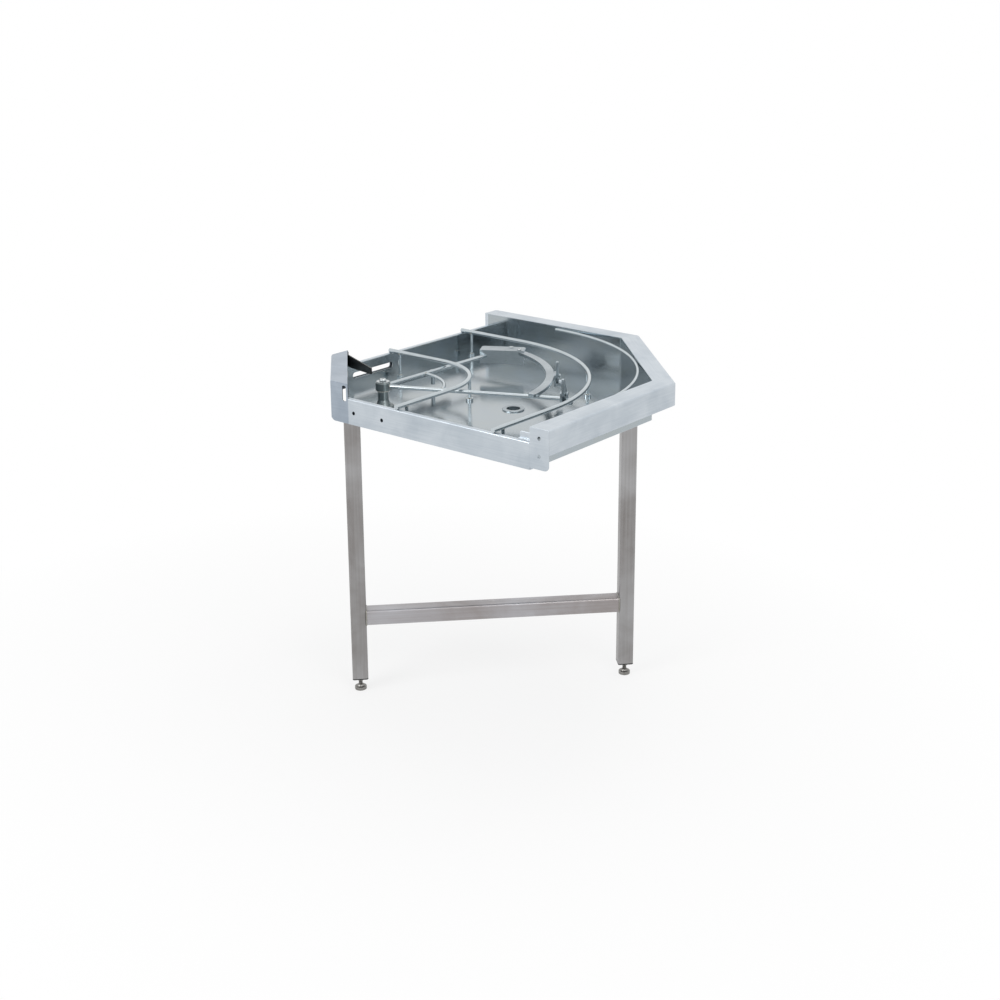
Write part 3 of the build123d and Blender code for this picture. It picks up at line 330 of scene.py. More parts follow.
    def inside(self, tree: bpy.types.NodeTree, place: bpy.types.NodeSocket) -> tuple:
        """Tell the tray's smooth inside, its colour darkened as painted shade, from its outside.

        Args:
            tree: the material's nodes.
            place: object coordinates in metres.

        Returns:
            A colour and a roughness, each a socket.
        """
        edge = row(10.4, 10.4, 763.6)
        parts = add(tree, "ShaderNodeSeparateXYZ", {0: place})
        inside = None
        for axis, limit in zip("XYZ", edge):
            past = add(tree, "ShaderNodeMath", {0: parts.outputs[axis], 1: limit}, operation="GREATER_THAN")
            if inside is None:
                inside = past.outputs[0]
            else:
                inside = add(tree, "ShaderNodeMath", {0: inside, 1: past.outputs[0]}, operation="MULTIPLY").outputs[0]
        colour = add(tree, "ShaderNodeMix", {"Factor": inside, "A": linear(self.colour),
                                             "B": linear(self.inside_colour)}, data_type="RGBA")
        rough = add(tree, "ShaderNodeMix", {"Factor": inside, "A": self.roughness, "B": self.inside_roughness},
                    data_type="FLOAT")
        return colour.outputs[2], rough.outputs[0]


@dataclass(frozen=True)
class Plastic:
    """Moulded or machined plastic.

    Attributes:
        name: common name of the material.
        colour: sRGB hex.
        worn: sRGB hex where it is rubbed.
        roughness: typical roughness.
        grit_mm: size of the moulded texture.
    """

    name: str
    colour: str
    worn: str
    roughness: float
    grit_mm: float = 1.2

    def build(self) -> bpy.types.Material:
        """Make the material.

        Returns:
            The finished material.
        """
        material = bpy.data.materials.new(self.name)
        material.use_nodes = True
        tree = material.node_tree
        shader = tree.nodes["Principled BSDF"]
        place = add(tree, "ShaderNodeTexCoord").outputs["Object"]
        grit = add(tree, "ShaderNodeTexNoise", {"Vector": place, "Scale": 1 / (self.grit_mm * MM), "Detail": 2.0})
        rub = add(tree, "ShaderNodeTexNoise", {"Vector": place, "Scale": 1 / (18 * MM), "Detail": 4.0})
        worn = add(tree, "ShaderNodeMapRange", {"Value": rub.outputs["Fac"], "From Min": 0.45, "From Max": 0.75,
                                               "To Min": 0.0, "To Max": 0.6})
        colour = add(tree, "ShaderNodeMix", {"Factor": worn.outputs[0], "A": linear(self.colour),
                                             "B": linear(self.worn)}, data_type="RGBA")
        tree.links.new(colour.outputs[2], shader.inputs["Base Color"])
        rough = add(tree, "ShaderNodeMapRange", {"Value": grit.outputs["Fac"], "To Min": self.roughness - 0.08,
                                                "To Max": self.roughness + 0.08})
        tree.links.new(rough.outputs[0], shader.inputs["Roughness"])
        bump = add(tree, "ShaderNodeBump", {"Height": grit.outputs["Fac"], "Strength": 0.15, "Distance": 0.1 * MM})
        tree.links.new(bump.outputs[0], shader.inputs["Normal"])
        return material


@dataclass(frozen=True)
class Finishes:
    """Every finish of the corner section."""

    # Cold rolled stainless sheet, belt ground along its length: a soft, slightly blue sheen.
    rim: Steel = Steel("satin_stainless_sheet", "cdd4da", "adb7c0", 0.34, run=Run.ROUND_THE_RIM, anisotropy=0.4)
    # The guard is the same sheet, its colour darkened as painted shade; inside its fold a dark grey is painted as
    # shade.
    guard: Steel = Steel("satin_stainless_fold_painted_shade", "aeb8c3", "909ba7", 0.34, run=Run.ROUND_THE_RIM, anisotropy=0.4,
                         hollow=ShadedHollow.INSIDE_FOLD)
    # The same sheet on the tray's outside; inside it keeps the mill's bright annealed skin, near a mirror, its colour
    # darkened as painted shade. Behind the guard's wall it gets painted shade too.
    tray: Steel = Steel("bright_annealed_sheet_painted_shade", "cdd4da", "a9b3bc", 0.34, inside_colour="a9b0b1",
                        inside_roughness=0.13, anisotropy=0.3, hollow=ShadedHollow.BEHIND_WALL)
    # Centreless ground bar: bright, with fine rings that the wheel leaves round it.
    bar: Steel = Steel("ground_stainless_bar", "c8d0d4", "a3acb1", 0.19, Grain(12.0, 1.4, 0.05, 0.06), cloud=0.3)
    # Sawn flat bar and turned parts: a little greyer, with short tool lines.
    machined: Steel = Steel("machined_stainless", "b2bbc0", "8b9499", 0.28, Grain(14.0, 0.7, 0.12, 0.10),
                            run=Run.ALONG_DIAGONAL)
    # The post and its hub, which wash water has dulled.
    hub: Steel = Steel("dulled_turned_stainless", "969fa0", "6f7879", 0.32, Grain(14.0, 0.7, 0.12, 0.10),
                       cloud_mm=20.0, cloud=0.6)
    # Feet stand in the wet: duller and darker than the bolts above them.
    foot: Steel = Steel("dulled_foot_screw", "9b9a97", "72706d", 0.40, Grain(6.0, 0.6, 0.10, 0.10),
                        cloud_mm=12.0, cloud=0.6)
    # Cold headed fasteners: bright flanks, tumbled smooth.
    fastener: Steel = Steel("cold_headed_stainless", "ccd1d2", "a3a9ab", 0.24, Grain(4.0, 0.5, 0.06, 0.06),
                            cloud_mm=9.0, cloud=0.35)
    # Weld metal, brushed after pickling: duller than the sheet, with a trace of straw.
    weld: Steel = Steel("brushed_weld_metal", "b1b2ae", "8d867a", 0.36, Grain(6.0, 0.6, 0.15, 0.12),
                        cloud_mm=14.0, cloud=0.6)
    # Welded square tube, ground along its length, warmer and darker than the sheet; its warm patches are painted
    # reflection, and the crossbar's copy is lighter than the legs'.
    tube: Steel = Steel("ground_stainless_tube_painted_reflection", "afafb0", "8a8684", 0.36, Grain(160.0, 1.1, 0.10, 0.12),
                        run=Run.ALONG_DIAGONAL, upright=Upright.STANDING, cloud_mm=170.0, cloud=0.7, anisotropy=0.4)
    level_tube: Steel = Steel("ground_stainless_crossbar_painted_reflection", "c2c3c8", "a39d9c", 0.36, Grain(160.0, 1.1, 0.10, 0.12),
                              run=Run.ALONG_DIAGONAL, cloud_mm=210.0, cloud=0.9, anisotropy=0.4)
    # Nylon, injection moulded: black with a fine matt grain.
    nylon: Plastic = Plastic("moulded_nylon", "17191b", "26292b", 0.52)
    # Polyethylene sheet, sawn and folded warm: black and waxy.
    blade: Plastic = Plastic("black_polyethylene", "141719", "20262a", 0.42, 2.0)
    # Acetal, turned: off-white and smooth.
    acetal: Plastic = Plastic("turned_acetal", "e4e2da", "d0cdc2", 0.35)


class Rims:
    """Sizes of the rims that the finishes need."""

    plan = 820.0
    chamfer = 332.0
    guard_reach = 227.0


@dataclass
class Dresser:
    """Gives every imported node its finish."""

    finishes: Finishes

    def nodes_by_finish(self) -> dict[Steel | Plastic, list[str]]:
        """Sort the nodes by finish.

        Returns:
            The node names for each finish.
        """
        f = self.finishes
        pawls = [f"{piece}_{number}" for piece in ("pawl", "pawl_lug", "pawl_pin") for number in (1, 2)]
        return {
            f.rim: ["outer_rim", "rim_end_front", "rim_end_left", "sill_stop"],
            f.guard: ["corner_guard", "guard_end_front", "guard_end_left"],
            f.tray: ["basin"],
            f.bar: ["rail_inner", "rail_outer", "corner_rod", "swing_arm_long", "swing_arm_short", "swing_brace"],
            f.hub: ["pivot_post", "swing_hub"],
            f.machined: ["pivot_washer", "pivot_screw", "pivot_nut", "swing_carrier",
                         "swing_gusset", "swing_gusset_bolts", "drive_bar", "drive_pin", "rail_inner_nuts",
                         "rail_outer_nuts", "guide_blade_screws", "leg_bolts", "drain_body", "drain_strainer",
                         *pawls],
            f.foot: ["foot_near", "foot_far", "foot_locknut_near", "foot_locknut_far"],
            f.tube: ["leg_near", "leg_far"],
            f.level_tube: ["crossbar", "under_channel"],
            f.nylon: ["foot_insert_near", "foot_insert_far", "drain_nut"],
            f.blade: ["guide_blade"],
            f.acetal: ["pivot_bush"],
            f.fastener: [],
            f.weld: [],
        }

    def dress(self) -> dict[str, bpy.types.Material]:
        """Put the finishes on.

        Returns:
            The materials by name.
        """
        made = {}
        for finish, names in self.nodes_by_finish().items():
            material = finish.build()
            made[finish.name] = material
            for name in names:
                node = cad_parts[name]
                node.data.materials.clear()
                node.data.materials.append(material)
            LOG.info("finish %s on %d nodes", finish.name, len(names))
        return made


# Sizes of the drawing that several pieces share, in millimetres.
NUT_FLATS = 13.0                        # M8 nut and bolt head, across flats
NUT_HEIGHT = 6.5
STUD = 8.0                              # M8, across the crests
UNDERSIDE = 763.0                       # of the tray
CHANNEL_WEB = 761.0                     # underside of the channel's web
PIVOT = (194.0, 152.0)
POST_TOP = 828.9
CARRIER_CENTRE = (180.0, 223.0)
CARRIER_RADIUS = 373.0
CARRIER_TOP = 829.5
GUSSET_BOLTS = (81.0588, 76.0588)       # degrees round the carrier
ARM_Z = 816.5
LONG_ARM, SHORT_ARM = 89.0, 24.0        # degrees from the front side
BRACE_RADIUS = 148.0
LEG_SPOTS = {"near": 118.0, "far": 606.0}   # the same along both sides
LEG_SIDE = 40.0
CROSSBAR_Z = 203.0
RAIL_FEET = {"inner": ((378.0, 38.0), (322.936, 322.936), (38.0, 378.0)),
             "outer": ((664.0, 38.0), (531.027, 531.027), (38.0, 664.0))}
MACHINED = "stainless_machined"         # the record's slot of turned and sawn pieces
SHEET = "stainless_sheet"


def deselect() -> None:
    """Leave nothing selected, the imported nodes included."""
    bpy.ops.object.select_all(action="DESELECT")


def take(piece: bpy.types.Object) -> None:
    """Make a piece the only one that operators act on."""
    deselect()
    piece.select_set(True)
    bpy.context.view_layer.objects.active = piece


def modify(piece: bpy.types.Object, kind: str, **settings) -> None:
    """Add a modifier and apply it.

    Args:
        piece: piece that gets it.
        kind: type name of the modifier.
        **settings: the modifier's own properties.
    """
    take(piece)
    made = piece.modifiers.new(kind.lower(), kind)
    for key, value in settings.items():
        setattr(made, key, value)
    bpy.ops.object.modifier_apply(modifier=made.name)


def turned(radius: float, low: float, high: float, sides: int = 40) -> bpy.types.Object:
    """Bar stock on the Z axis.

    Args:
        radius: millimetres.
        low: lower end in millimetres.
        high: upper end in millimetres.
        sides: faces round it; six make hexagonal stock, with the radius to its corners.

    Returns:
        The bar, with its place in its mesh.
    """
    deselect()
    bpy.ops.mesh.primitive_cylinder_add(vertices=sides, radius=radius * MM, depth=(high - low) * MM,
                                        location=(0.0, 0.0, (low + high) / 2 * MM))
    bpy.ops.object.transform_apply(location=True, rotation=True, scale=True)
    return bpy.context.object


def carve(piece: bpy.types.Object, tool: bpy.types.Object, operation: str = "DIFFERENCE") -> None:
    """Cut a piece with another one, which is used up.

    Args:
        piece: piece that stays.
        tool: cutter.
        operation: DIFFERENCE or INTERSECT.
    """
    modify(piece, "BOOLEAN", object=tool, operation=operation, solver="EXACT")
    bpy.data.objects.remove(tool)


def break_edges(piece: bpy.types.Object, width: float, angle: float = 40.0, segments: int = 2) -> None:
    """Round a piece's sharp edges.

    Args:
        piece: piece to finish.
        width: millimetres.
        angle: least angle of an edge that is rounded, in degrees.
        segments: steps of the rounding.
    """
    modify(piece, "BEVEL", width=width * MM, segments=segments, limit_method="ANGLE",
           angle_limit=math.radians(angle), use_clamp_overlap=True)


def smooth(piece: bpy.types.Object, angle: float = 35.0) -> None:
    """Shade a piece smooth where its faces meet under an angle in degrees."""
    take(piece)
    bpy.ops.object.shade_smooth_by_angle(angle=math.radians(angle))


def top_face(piece: bpy.types.Object) -> None:
    """Enter edit mode with the face or faces on top selected."""
    take(piece)
    bpy.context.tool_settings.mesh_select_mode = (False, False, True)
    mesh = piece.data
    mesh.vertices.foreach_set("select", [False] * len(mesh.vertices))
    mesh.edges.foreach_set("select", [False] * len(mesh.edges))
    crest = max(face.center.z for face in mesh.polygons)
    mesh.polygons.foreach_set("select", [face.center.z > crest - 1e-6 for face in mesh.polygons])
    bpy.ops.object.mode_set(mode="EDIT")


def draw_up(rise: float, share: float) -> None:
    """Extrude the selected face up and narrow or widen its end.

    Args:
        rise: millimetres.
        share: scale of the end.
    """
    bpy.ops.mesh.extrude_region_move(TRANSFORM_OT_translate={"value": (0.0, 0.0, rise * MM)})
    bpy.ops.transform.resize(value=(share, share, 1.0), center_override=(0.0, 0.0, 0.0))


def threaded(radius: float, low: float, high: float, pitch: float) -> bpy.types.Object:
    """Threaded bar on the Z axis, its turns drawn as rings.

    Args:
        radius: crest radius in millimetres.
        low: lower end in millimetres.
        high: upper end in millimetres.
        pitch: millimetres from crest to crest.

    Returns:
        The bar.
    """
    root = radius - 0.55 * pitch
    bar = turned(root, low, low + 0.25 * pitch)
    top_face(bar)
    for _ in range(int((high - low) / pitch) - 1):
        draw_up(0.4 * pitch, radius / root)
        draw_up(0.1 * pitch, 1.0)
        draw_up(0.4 * pitch, root / radius)
        draw_up(0.1 * pitch, 1.0)
    bpy.ops.object.mode_set(mode="OBJECT")
    smooth(bar, 25.0)
    return bar


def hexagon_head(flats: float, low: float, high: float, both_ends: bool = True) -> bpy.types.Object:
    """Hexagonal head with its corners turned off.

    Args:
        flats: millimetres across the flats.
        low: lower face in millimetres.
        high: upper face in millimetres.
        both_ends: whether the lower corners are turned off too, as on a nut.

    Returns:
        The head.
    """
    corner = flats / math.sqrt(3.0)
    head = turned(corner, low, high, 6)
    cone = turned(corner * 1.001, low, high, 48)
    # The turning tool leaves the corners 30 degrees off square.
    top_face(cone)
    bpy.ops.mesh.bevel(offset=(corner - 0.47 * flats) * MM, segments=1)
    bpy.ops.object.mode_set(mode="OBJECT")
    if both_ends:
        lower = turned(corner * 1.001, -high, -low, 48)
        top_face(lower)
        bpy.ops.mesh.bevel(offset=(corner - 0.47 * flats) * MM, segments=1)
        bpy.ops.object.mode_set(mode="OBJECT")
        lower.data.transform(Matrix.Rotation(math.pi, 4, "X"))
        carve(cone, lower, "INTERSECT")
    carve(head, cone, "INTERSECT")
    return head


def nut(flats: float, bore: float, low: float, high: float) -> bpy.types.Object:
    """Nut with turned corners and a countersunk bore, in millimetres on the Z axis.

    Args:
        flats: across the flats.
        bore: radius of the bore.
        low: lower face.
        high: upper face.

    Returns:
        The nut.
    """
    body = hexagon_head(flats, low, high)
    carve(body, turned(bore, low - 1.0, high + 1.0))
    break_edges(body, 0.35, 50.0, 1)
    smooth(body)
    return body


def joined(name: str, pieces: list[bpy.types.Object]) -> bpy.types.Object:
    """Join pieces into one.

    Args:
        name: name of the whole.
        pieces: pieces that are used up.

    Returns:
        The whole.
    """
    take(pieces[0])
    for piece in pieces[1:]:
        piece.select_set(True)
    bpy.ops.object.join()
    whole = bpy.context.object
    whole.name = whole.data.name = name
    return whole


def copied(piece: bpy.types.Object, place: Matrix) -> bpy.types.Object:
    """Copy a piece, with its own mesh, to a place in the row frame.

    Args:
        piece: piece modelled on the Z axis.
        place: frame that it is copied to.

    Returns:
        The copy.
    """
    twin = piece.copy()
    twin.data = piece.data.copy()
    twin.data.transform(place)
    bpy.context.collection.objects.link(twin)
    return twin


def spot(x: float, y: float, z: float, axis: tuple[float, float, float] = (0.0, 0.0, 1.0),
         across: tuple[float, float, float] = (1.0, 0.0, 0.0)) -> Matrix:
    """Frame at a point of the drawing.

    Args:
        x: millimetres in the drawing.
        y: millimetres in the drawing.
        z: millimetres in the drawing.
        axis: direction of the frame's Z.
        across: rough direction of its X.

    Returns:
        The frame in the row frame's metres.
    """
    up = Vector(axis).normalized()
    side = (Vector(across) - up * up.dot(Vector(across))).normalized()
    frame_axes = Matrix((side, up.cross(side), up)).transposed().to_4x4()
    return Matrix.Translation(row(x, y, z)) @ frame_axes


def out_from(centre: tuple[float, float], degrees: float, radius: float) -> tuple[float, float]:
    """Plan place at a radius from a centre, all in the drawing's millimetres."""
    angle = math.radians(degrees)
    return centre[0] + radius * math.cos(angle), centre[1] + radius * math.sin(angle)


@dataclass
class Fitter:
    """Finishes a piece, puts it on its body and hides the nodes that it stands for."""

    made: dict[str, bpy.types.Material]

    def fit(self, piece: bpy.types.Object, finish: Steel | Plastic, body: str, slot: str, *nodes: str) -> None:
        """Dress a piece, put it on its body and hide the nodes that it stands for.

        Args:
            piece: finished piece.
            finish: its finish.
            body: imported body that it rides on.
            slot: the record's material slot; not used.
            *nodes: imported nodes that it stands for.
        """
        piece.data.materials.clear()
        piece.data.materials.append(self.made[finish.name])
        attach(piece, body)
        if nodes:
            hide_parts(*nodes)
        LOG.info("piece %s on %s, %d faces", piece.name, body, len(piece.data.polygons))


@dataclass
class Fasteners:
    """Nuts, bolts and screws, with turned corners, washers and threads.

    Attributes:
        fitter: puts the pieces on their bodies.
        finishes: the finishes.
        channel_half: channel's outer face to the diagonal, in millimetres.
        leg_bolt_z: height of the leg bolts, in millimetres.
    """

    fitter: Fitter
    finishes: Finishes
    channel_half: float = 22.3
    leg_bolt_z: float = 747.0

    def under_nut(self) -> bpy.types.Object:
        """Nut with its washer and the stud's thread below it, hanging from z 0.

        Returns:
            The set, as one piece.
        """
        washer = turned(8.0, -1.2, 0.0)
        carve(washer, turned(STUD / 2, -2.0, 1.0))
        break_edges(washer, 0.25, 50.0, 1)
        stud = threaded(STUD / 2 + 0.12, -13.6, -1.2, 1.25)
        return joined("under_nut", [nut(NUT_FLATS, STUD / 2, -NUT_HEIGHT, -1.2), washer, stud])

    def rails(self) -> None:
        """Nuts of both rails' posts, under the tray, and the pivot post's."""
        sample = self.under_nut()
        for rail, feet in RAIL_FEET.items():
            nuts = []
            for number, (x, y) in enumerate(feet):
                seat = CHANNEL_WEB if x == y else UNDERSIDE
                turn = (math.cos(0.7 * number), math.sin(0.7 * number), 0.0)
                nuts.append(copied(sample, spot(x, y, seat, across=turn)))
            whole = joined(f"rail_{rail}_nuts_turned", nuts)
            self.fitter.fit(whole, self.finishes.fastener, "tray", MACHINED, f"rail_{rail}_nuts")
        pivot = copied(sample, spot(*PIVOT, CHANNEL_WEB, across=(0.9, 0.4, 0.0)))
        pivot.name = "pivot_nut_turned"
        self.fitter.fit(pivot, self.finishes.fastener, "tray", MACHINED, "pivot_nut")
        bpy.data.objects.remove(sample)

    def legs(self) -> None:
        """Cross bolts of the legs."""
        half = self.channel_half
        head = hexagon_head(NUT_FLATS, half, half + 5.6, both_ends=False)
        smooth(head)
        shank = threaded(STUD / 2 + 0.02, -half - NUT_HEIGHT - 2.0, -half + 6.0, 1.25)
        stem = turned(STUD / 2 - 0.05, -half + 4.0, half + 1.0)
        bolt = joined("leg_bolt", [head, nut(NUT_FLATS, STUD / 2, -half - NUT_HEIGHT, -half), shank, stem])
        # Packed bolts point along -Y of the diagonal's frame.
        axis = (0.7071, -0.7071, 0.0)
        bolts = [copied(bolt, spot(at, at, self.leg_bolt_z, axis, (0.2, 0.2, 1.0))) for at in LEG_SPOTS.values()]
        self.fitter.fit(joined("leg_bolts_turned", bolts), self.finishes.fastener, "tray", MACHINED, "leg_bolts")
        bpy.data.objects.remove(bolt)

    def gusset(self) -> None:
        """Low button heads on the gusset, with their nuts under the carrier."""
        head = turned(5.4, 3.0, 6.0)
        break_edges(head, 1.6, 60.0, 5)
        carve(head, turned(2.3, 4.2, 8.0, 6))
        smooth(head)
        tail = threaded(3.0, -14.0, -8.0, 1.0)
        stem = turned(2.95, -9.0, 4.0)
        bolt = joined("gusset_bolt", [head, nut(10.2, 3.0, -12.8, -8.0), tail, stem])
        bolts = []
        for degrees in GUSSET_BOLTS:
            bolts.append(copied(bolt, spot(*out_from(CARRIER_CENTRE, degrees, CARRIER_RADIUS), CARRIER_TOP)))
        self.fitter.fit(joined("gusset_bolts_turned", bolts), self.finishes.fastener, "swing_frame", MACHINED,
                        "swing_gusset_bolts")
        bpy.data.objects.remove(bolt)

    def blade(self) -> None:
        """Slotted pan heads on the guide blade, with nuts behind the guard's wall."""
        head = turned(5.0, 3.0, 7.4)
        break_edges(head, 2.0, 60.0, 5)
        deselect()
        bpy.ops.mesh.primitive_cube_add(size=1.0, location=(0.0, 0.0, 7.0 * MM), scale=(12 * MM, 1.2 * MM, 2.4 * MM))
        slot_tool = bpy.context.object
        bpy.ops.object.transform_apply(location=True, rotation=True, scale=True)
        carve(head, slot_tool)
        smooth(head)
        screw = joined("blade_screw", [head, nut(8.0, 2.5, -6.05, -1.5), threaded(2.5, -8.0, -1.5, 0.8),
                                       turned(2.45, -2.0, 4.0)])
        screws = []
        for number, along in enumerate((7.5, 22.5)):
            x, y = 6.0 + along / math.sqrt(2.0), 221.0 - along / math.sqrt(2.0)
            screws.append(copied(screw, spot(x, y, 843.5, (0.7071, 0.7071, 0.0), (0.4, -0.4, 0.6 - number))))
        self.fitter.fit(joined("blade_screws_turned", screws), self.finishes.fastener, "tray", MACHINED,
                        "guide_blade_screws")
        bpy.data.objects.remove(screw)

    def pivot(self) -> None:
        """Domed screw with a hexagon socket in the top of the post."""
        head = turned(8.8, 0.0, 6.0)
        break_edges(head, 4.0, 60.0, 7)
        carve(head, turned(3.2, 2.3, 8.1, 6))
        break_edges(head, 0.25, 60.0, 1)
        smooth(head)
        whole = joined("pivot_screw_turned", [head, turned(3.95, -20.9, 0.6)])
        whole.data.transform(Matrix.Translation(row(*PIVOT, POST_TOP)))
        self.fitter.fit(whole, self.finishes.fastener, "tray", MACHINED, "pivot_screw")

    def build(self) -> None:
        """Make every fastener."""
        self.rails()
        self.legs()
        self.gusset()
        self.blade()
        self.pivot()


@dataclass
class Feet:
    """Adjustable feet: a turned pad, and a threaded stem with its locknut.

    Attributes:
        fitter: puts the pieces on their bodies.
        finishes: the finishes.
        pad_radius: radius of the pad, in millimetres.
        pad_height: height of the pad, in millimetres.
        stem_radius: crest radius of the stem, in millimetres.
        stem_top: top of the stem, in millimetres.
    """

    fitter: Fitter
    finishes: Finishes
    pad_radius: float = 15.0
    pad_height: float = 8.0
    stem_radius: float = 5.0
    stem_top: float = 55.0

    def foot(self) -> bpy.types.Object:
        """Turn the foot on the Z axis.

        Returns:
            The foot, standing on z 0.
        """
        pad = turned(self.pad_radius, 0.0, self.pad_height, 64)
        top_face(pad)
        bpy.ops.mesh.inset(thickness=1.2 * MM, depth=0.6 * MM)
        bpy.ops.mesh.inset(thickness=4.2 * MM, depth=1.0 * MM)
        bpy.ops.mesh.extrude_region_move(TRANSFORM_OT_translate={"value": (0.0, 0.0, 4.2 * MM)})
        bpy.ops.transform.resize(value=(0.74, 0.74, 1.0), center_override=(0.0, 0.0, 0.0))
        bpy.ops.object.mode_set(mode="OBJECT")
        break_edges(pad, 0.7, 50.0, 2)
        smooth(pad)
        stem = threaded(self.stem_radius, 13.0, self.stem_top, 1.5)
        return joined("foot", [pad, stem])

    def build(self) -> None:
        """Make both feet and their locknuts."""
        foot = self.foot()
        locknut = nut(17.0, self.stem_radius, 25.0, 33.0)
        for where, at in LEG_SPOTS.items():
            standing = copied(foot, spot(at, at, 0.0))
            standing.name = f"foot_{where}_threaded"
            self.fitter.fit(standing, self.finishes.foot, f"foot_{where}_screw", MACHINED, f"foot_{where}")
            locked = copied(locknut, spot(at, at, 0.0, across=(0.8, 0.6, 0.0)))
            locked.name = f"foot_locknut_{where}_turned"
            self.fitter.fit(locked, self.finishes.foot, "tray", MACHINED, f"foot_locknut_{where}")
        bpy.data.objects.remove(foot)
        bpy.data.objects.remove(locknut)


@dataclass
class Welds:
    """Runs of weld with their ripples.

    Attributes:
        fitter: puts the pieces on their bodies.
        finishes: the finishes.
        ripple_mm: size of a ripple in the weld.
    """

    fitter: Fitter
    finishes: Finishes
    ripple_mm: float = 1.6

    def run(self, loop: bpy.types.Object, throat: float) -> bpy.types.Object:
        """Lay weld along a loop of edges.

        Args:
            loop: closed loop, used up.
            throat: half the width of the weld, in millimetres.

        Returns:
            The weld.
        """
        take(loop)
        bpy.ops.object.convert(target="CURVE")
        curve = bpy.context.object
        curve.data.bevel_depth = throat * MM
        curve.data.bevel_resolution = 3
        bpy.ops.object.convert(target="MESH")
        weld = bpy.context.object
        ripple = bpy.data.textures.new("weld_ripple", "CLOUDS")
        ripple.noise_scale = self.ripple_mm * MM
        modify(weld, "DISPLACE", texture=ripple, strength=0.45 * throat * MM, mid_level=0.5, texture_coords="LOCAL")
        smooth(weld, 60.0)
        return weld

    def ring(self, radius: float, throat: float) -> bpy.types.Object:
        """Weld round a bar on the Z axis.

        Args:
            radius: millimetres to the middle of the weld.
            throat: half the width of the weld, in millimetres.

        Returns:
            The weld.
        """
        deselect()
        bpy.ops.mesh.primitive_circle_add(vertices=max(36, int(radius * 6)), radius=radius * MM)
        return self.run(bpy.context.object, throat)

    def square(self, side: float, corner: float, throat: float) -> bpy.types.Object:
        """Weld round a square tube on the Z axis.

        Args:
            side: side of the tube, in millimetres.
            corner: its corner radius, in millimetres.
            throat: half the width of the weld, in millimetres.

        Returns:
            The weld.
        """
        deselect()
        bpy.ops.mesh.primitive_plane_add(size=side * MM)
        bpy.ops.object.mode_set(mode="EDIT")
        bpy.ops.mesh.select_all(action="SELECT")
        bpy.ops.mesh.bevel(offset=corner * MM, segments=6, affect="VERTICES")
        bpy.ops.mesh.select_all(action="SELECT")
        bpy.ops.mesh.delete(type="ONLY_FACE")
        bpy.ops.mesh.select_all(action="SELECT")
        bpy.ops.mesh.subdivide(number_cuts=5)
        bpy.ops.object.mode_set(mode="OBJECT")
        return self.run(bpy.context.object, throat)

    def crossbar(self) -> None:
        """Weld round both ends of the crossbar."""
        way = (0.7071, 0.7071, 0.0)
        sample = self.square(LEG_SIDE, 5.0, 1.7)
        ends = []
        for where, inward in (("near", LEG_SIDE / 2), ("far", -LEG_SIDE / 2)):
            at = (LEG_SPOTS[where] * math.sqrt(2.0) + inward) * 0.70711
            ends.append(copied(sample, spot(at, at, CROSSBAR_Z, way, (0, 0, 1))))
        bpy.data.objects.remove(sample)
        self.fitter.fit(joined("crossbar_welds", ends), self.finishes.weld, "tray", "stainless_tube")

    def swing(self) -> None:
        """Welds of the swing frame: arms to hub, brace to arms, lugs to carrier and arm."""
        runs = []
        at_hub = self.ring(5.2, 1.1)
        at_brace = self.ring(4.2, 0.9)
        for degrees, turn in ((LONG_ARM, -1.0), (SHORT_ARM, 1.0)):
            out = (*out_from((0.0, 0.0), degrees, 1.0), 0.0)
            side = (-turn * out[1], turn * out[0], 0.0)
            runs.append(copied(at_hub, spot(*out_from(PIVOT, degrees, 17.9), ARM_Z, out, (0, 0, 1))))
            # The brace meets each arm on the arm's inner side.
            x, y = out_from(PIVOT, degrees, BRACE_RADIUS)
            runs.append(copied(at_brace, spot(x + 4.2 * side[0], y + 4.2 * side[1], ARM_Z, side, (0, 0, 1))))
        runs.append(copied(at_hub, spot(*out_from(PIVOT, SHORT_ARM, 444.6), ARM_Z, out, (0, 0, 1))))
        bpy.data.objects.remove(at_hub)
        bpy.data.objects.remove(at_brace)
        self.fitter.fit(joined("swing_frame_welds", runs), self.finishes.weld, "swing_frame", MACHINED)

    def posts(self) -> None:
        """Welds where the rails' posts meet the rails."""
        sample = self.ring(4.3, 0.9)
        runs = []
        for x, y in RAIL_FEET["inner"] + RAIL_FEET["outer"]:
            runs.append(copied(sample, spot(x, y, 826.3)))
            runs.append(copied(sample, spot(x, y, 770.6)))
        bpy.data.objects.remove(sample)
        self.fitter.fit(joined("rail_post_welds", runs), self.finishes.weld, "tray", "stainless_rod")

    def build(self) -> None:
        """Lay every weld."""
        self.crossbar()
        self.swing()
        self.posts()


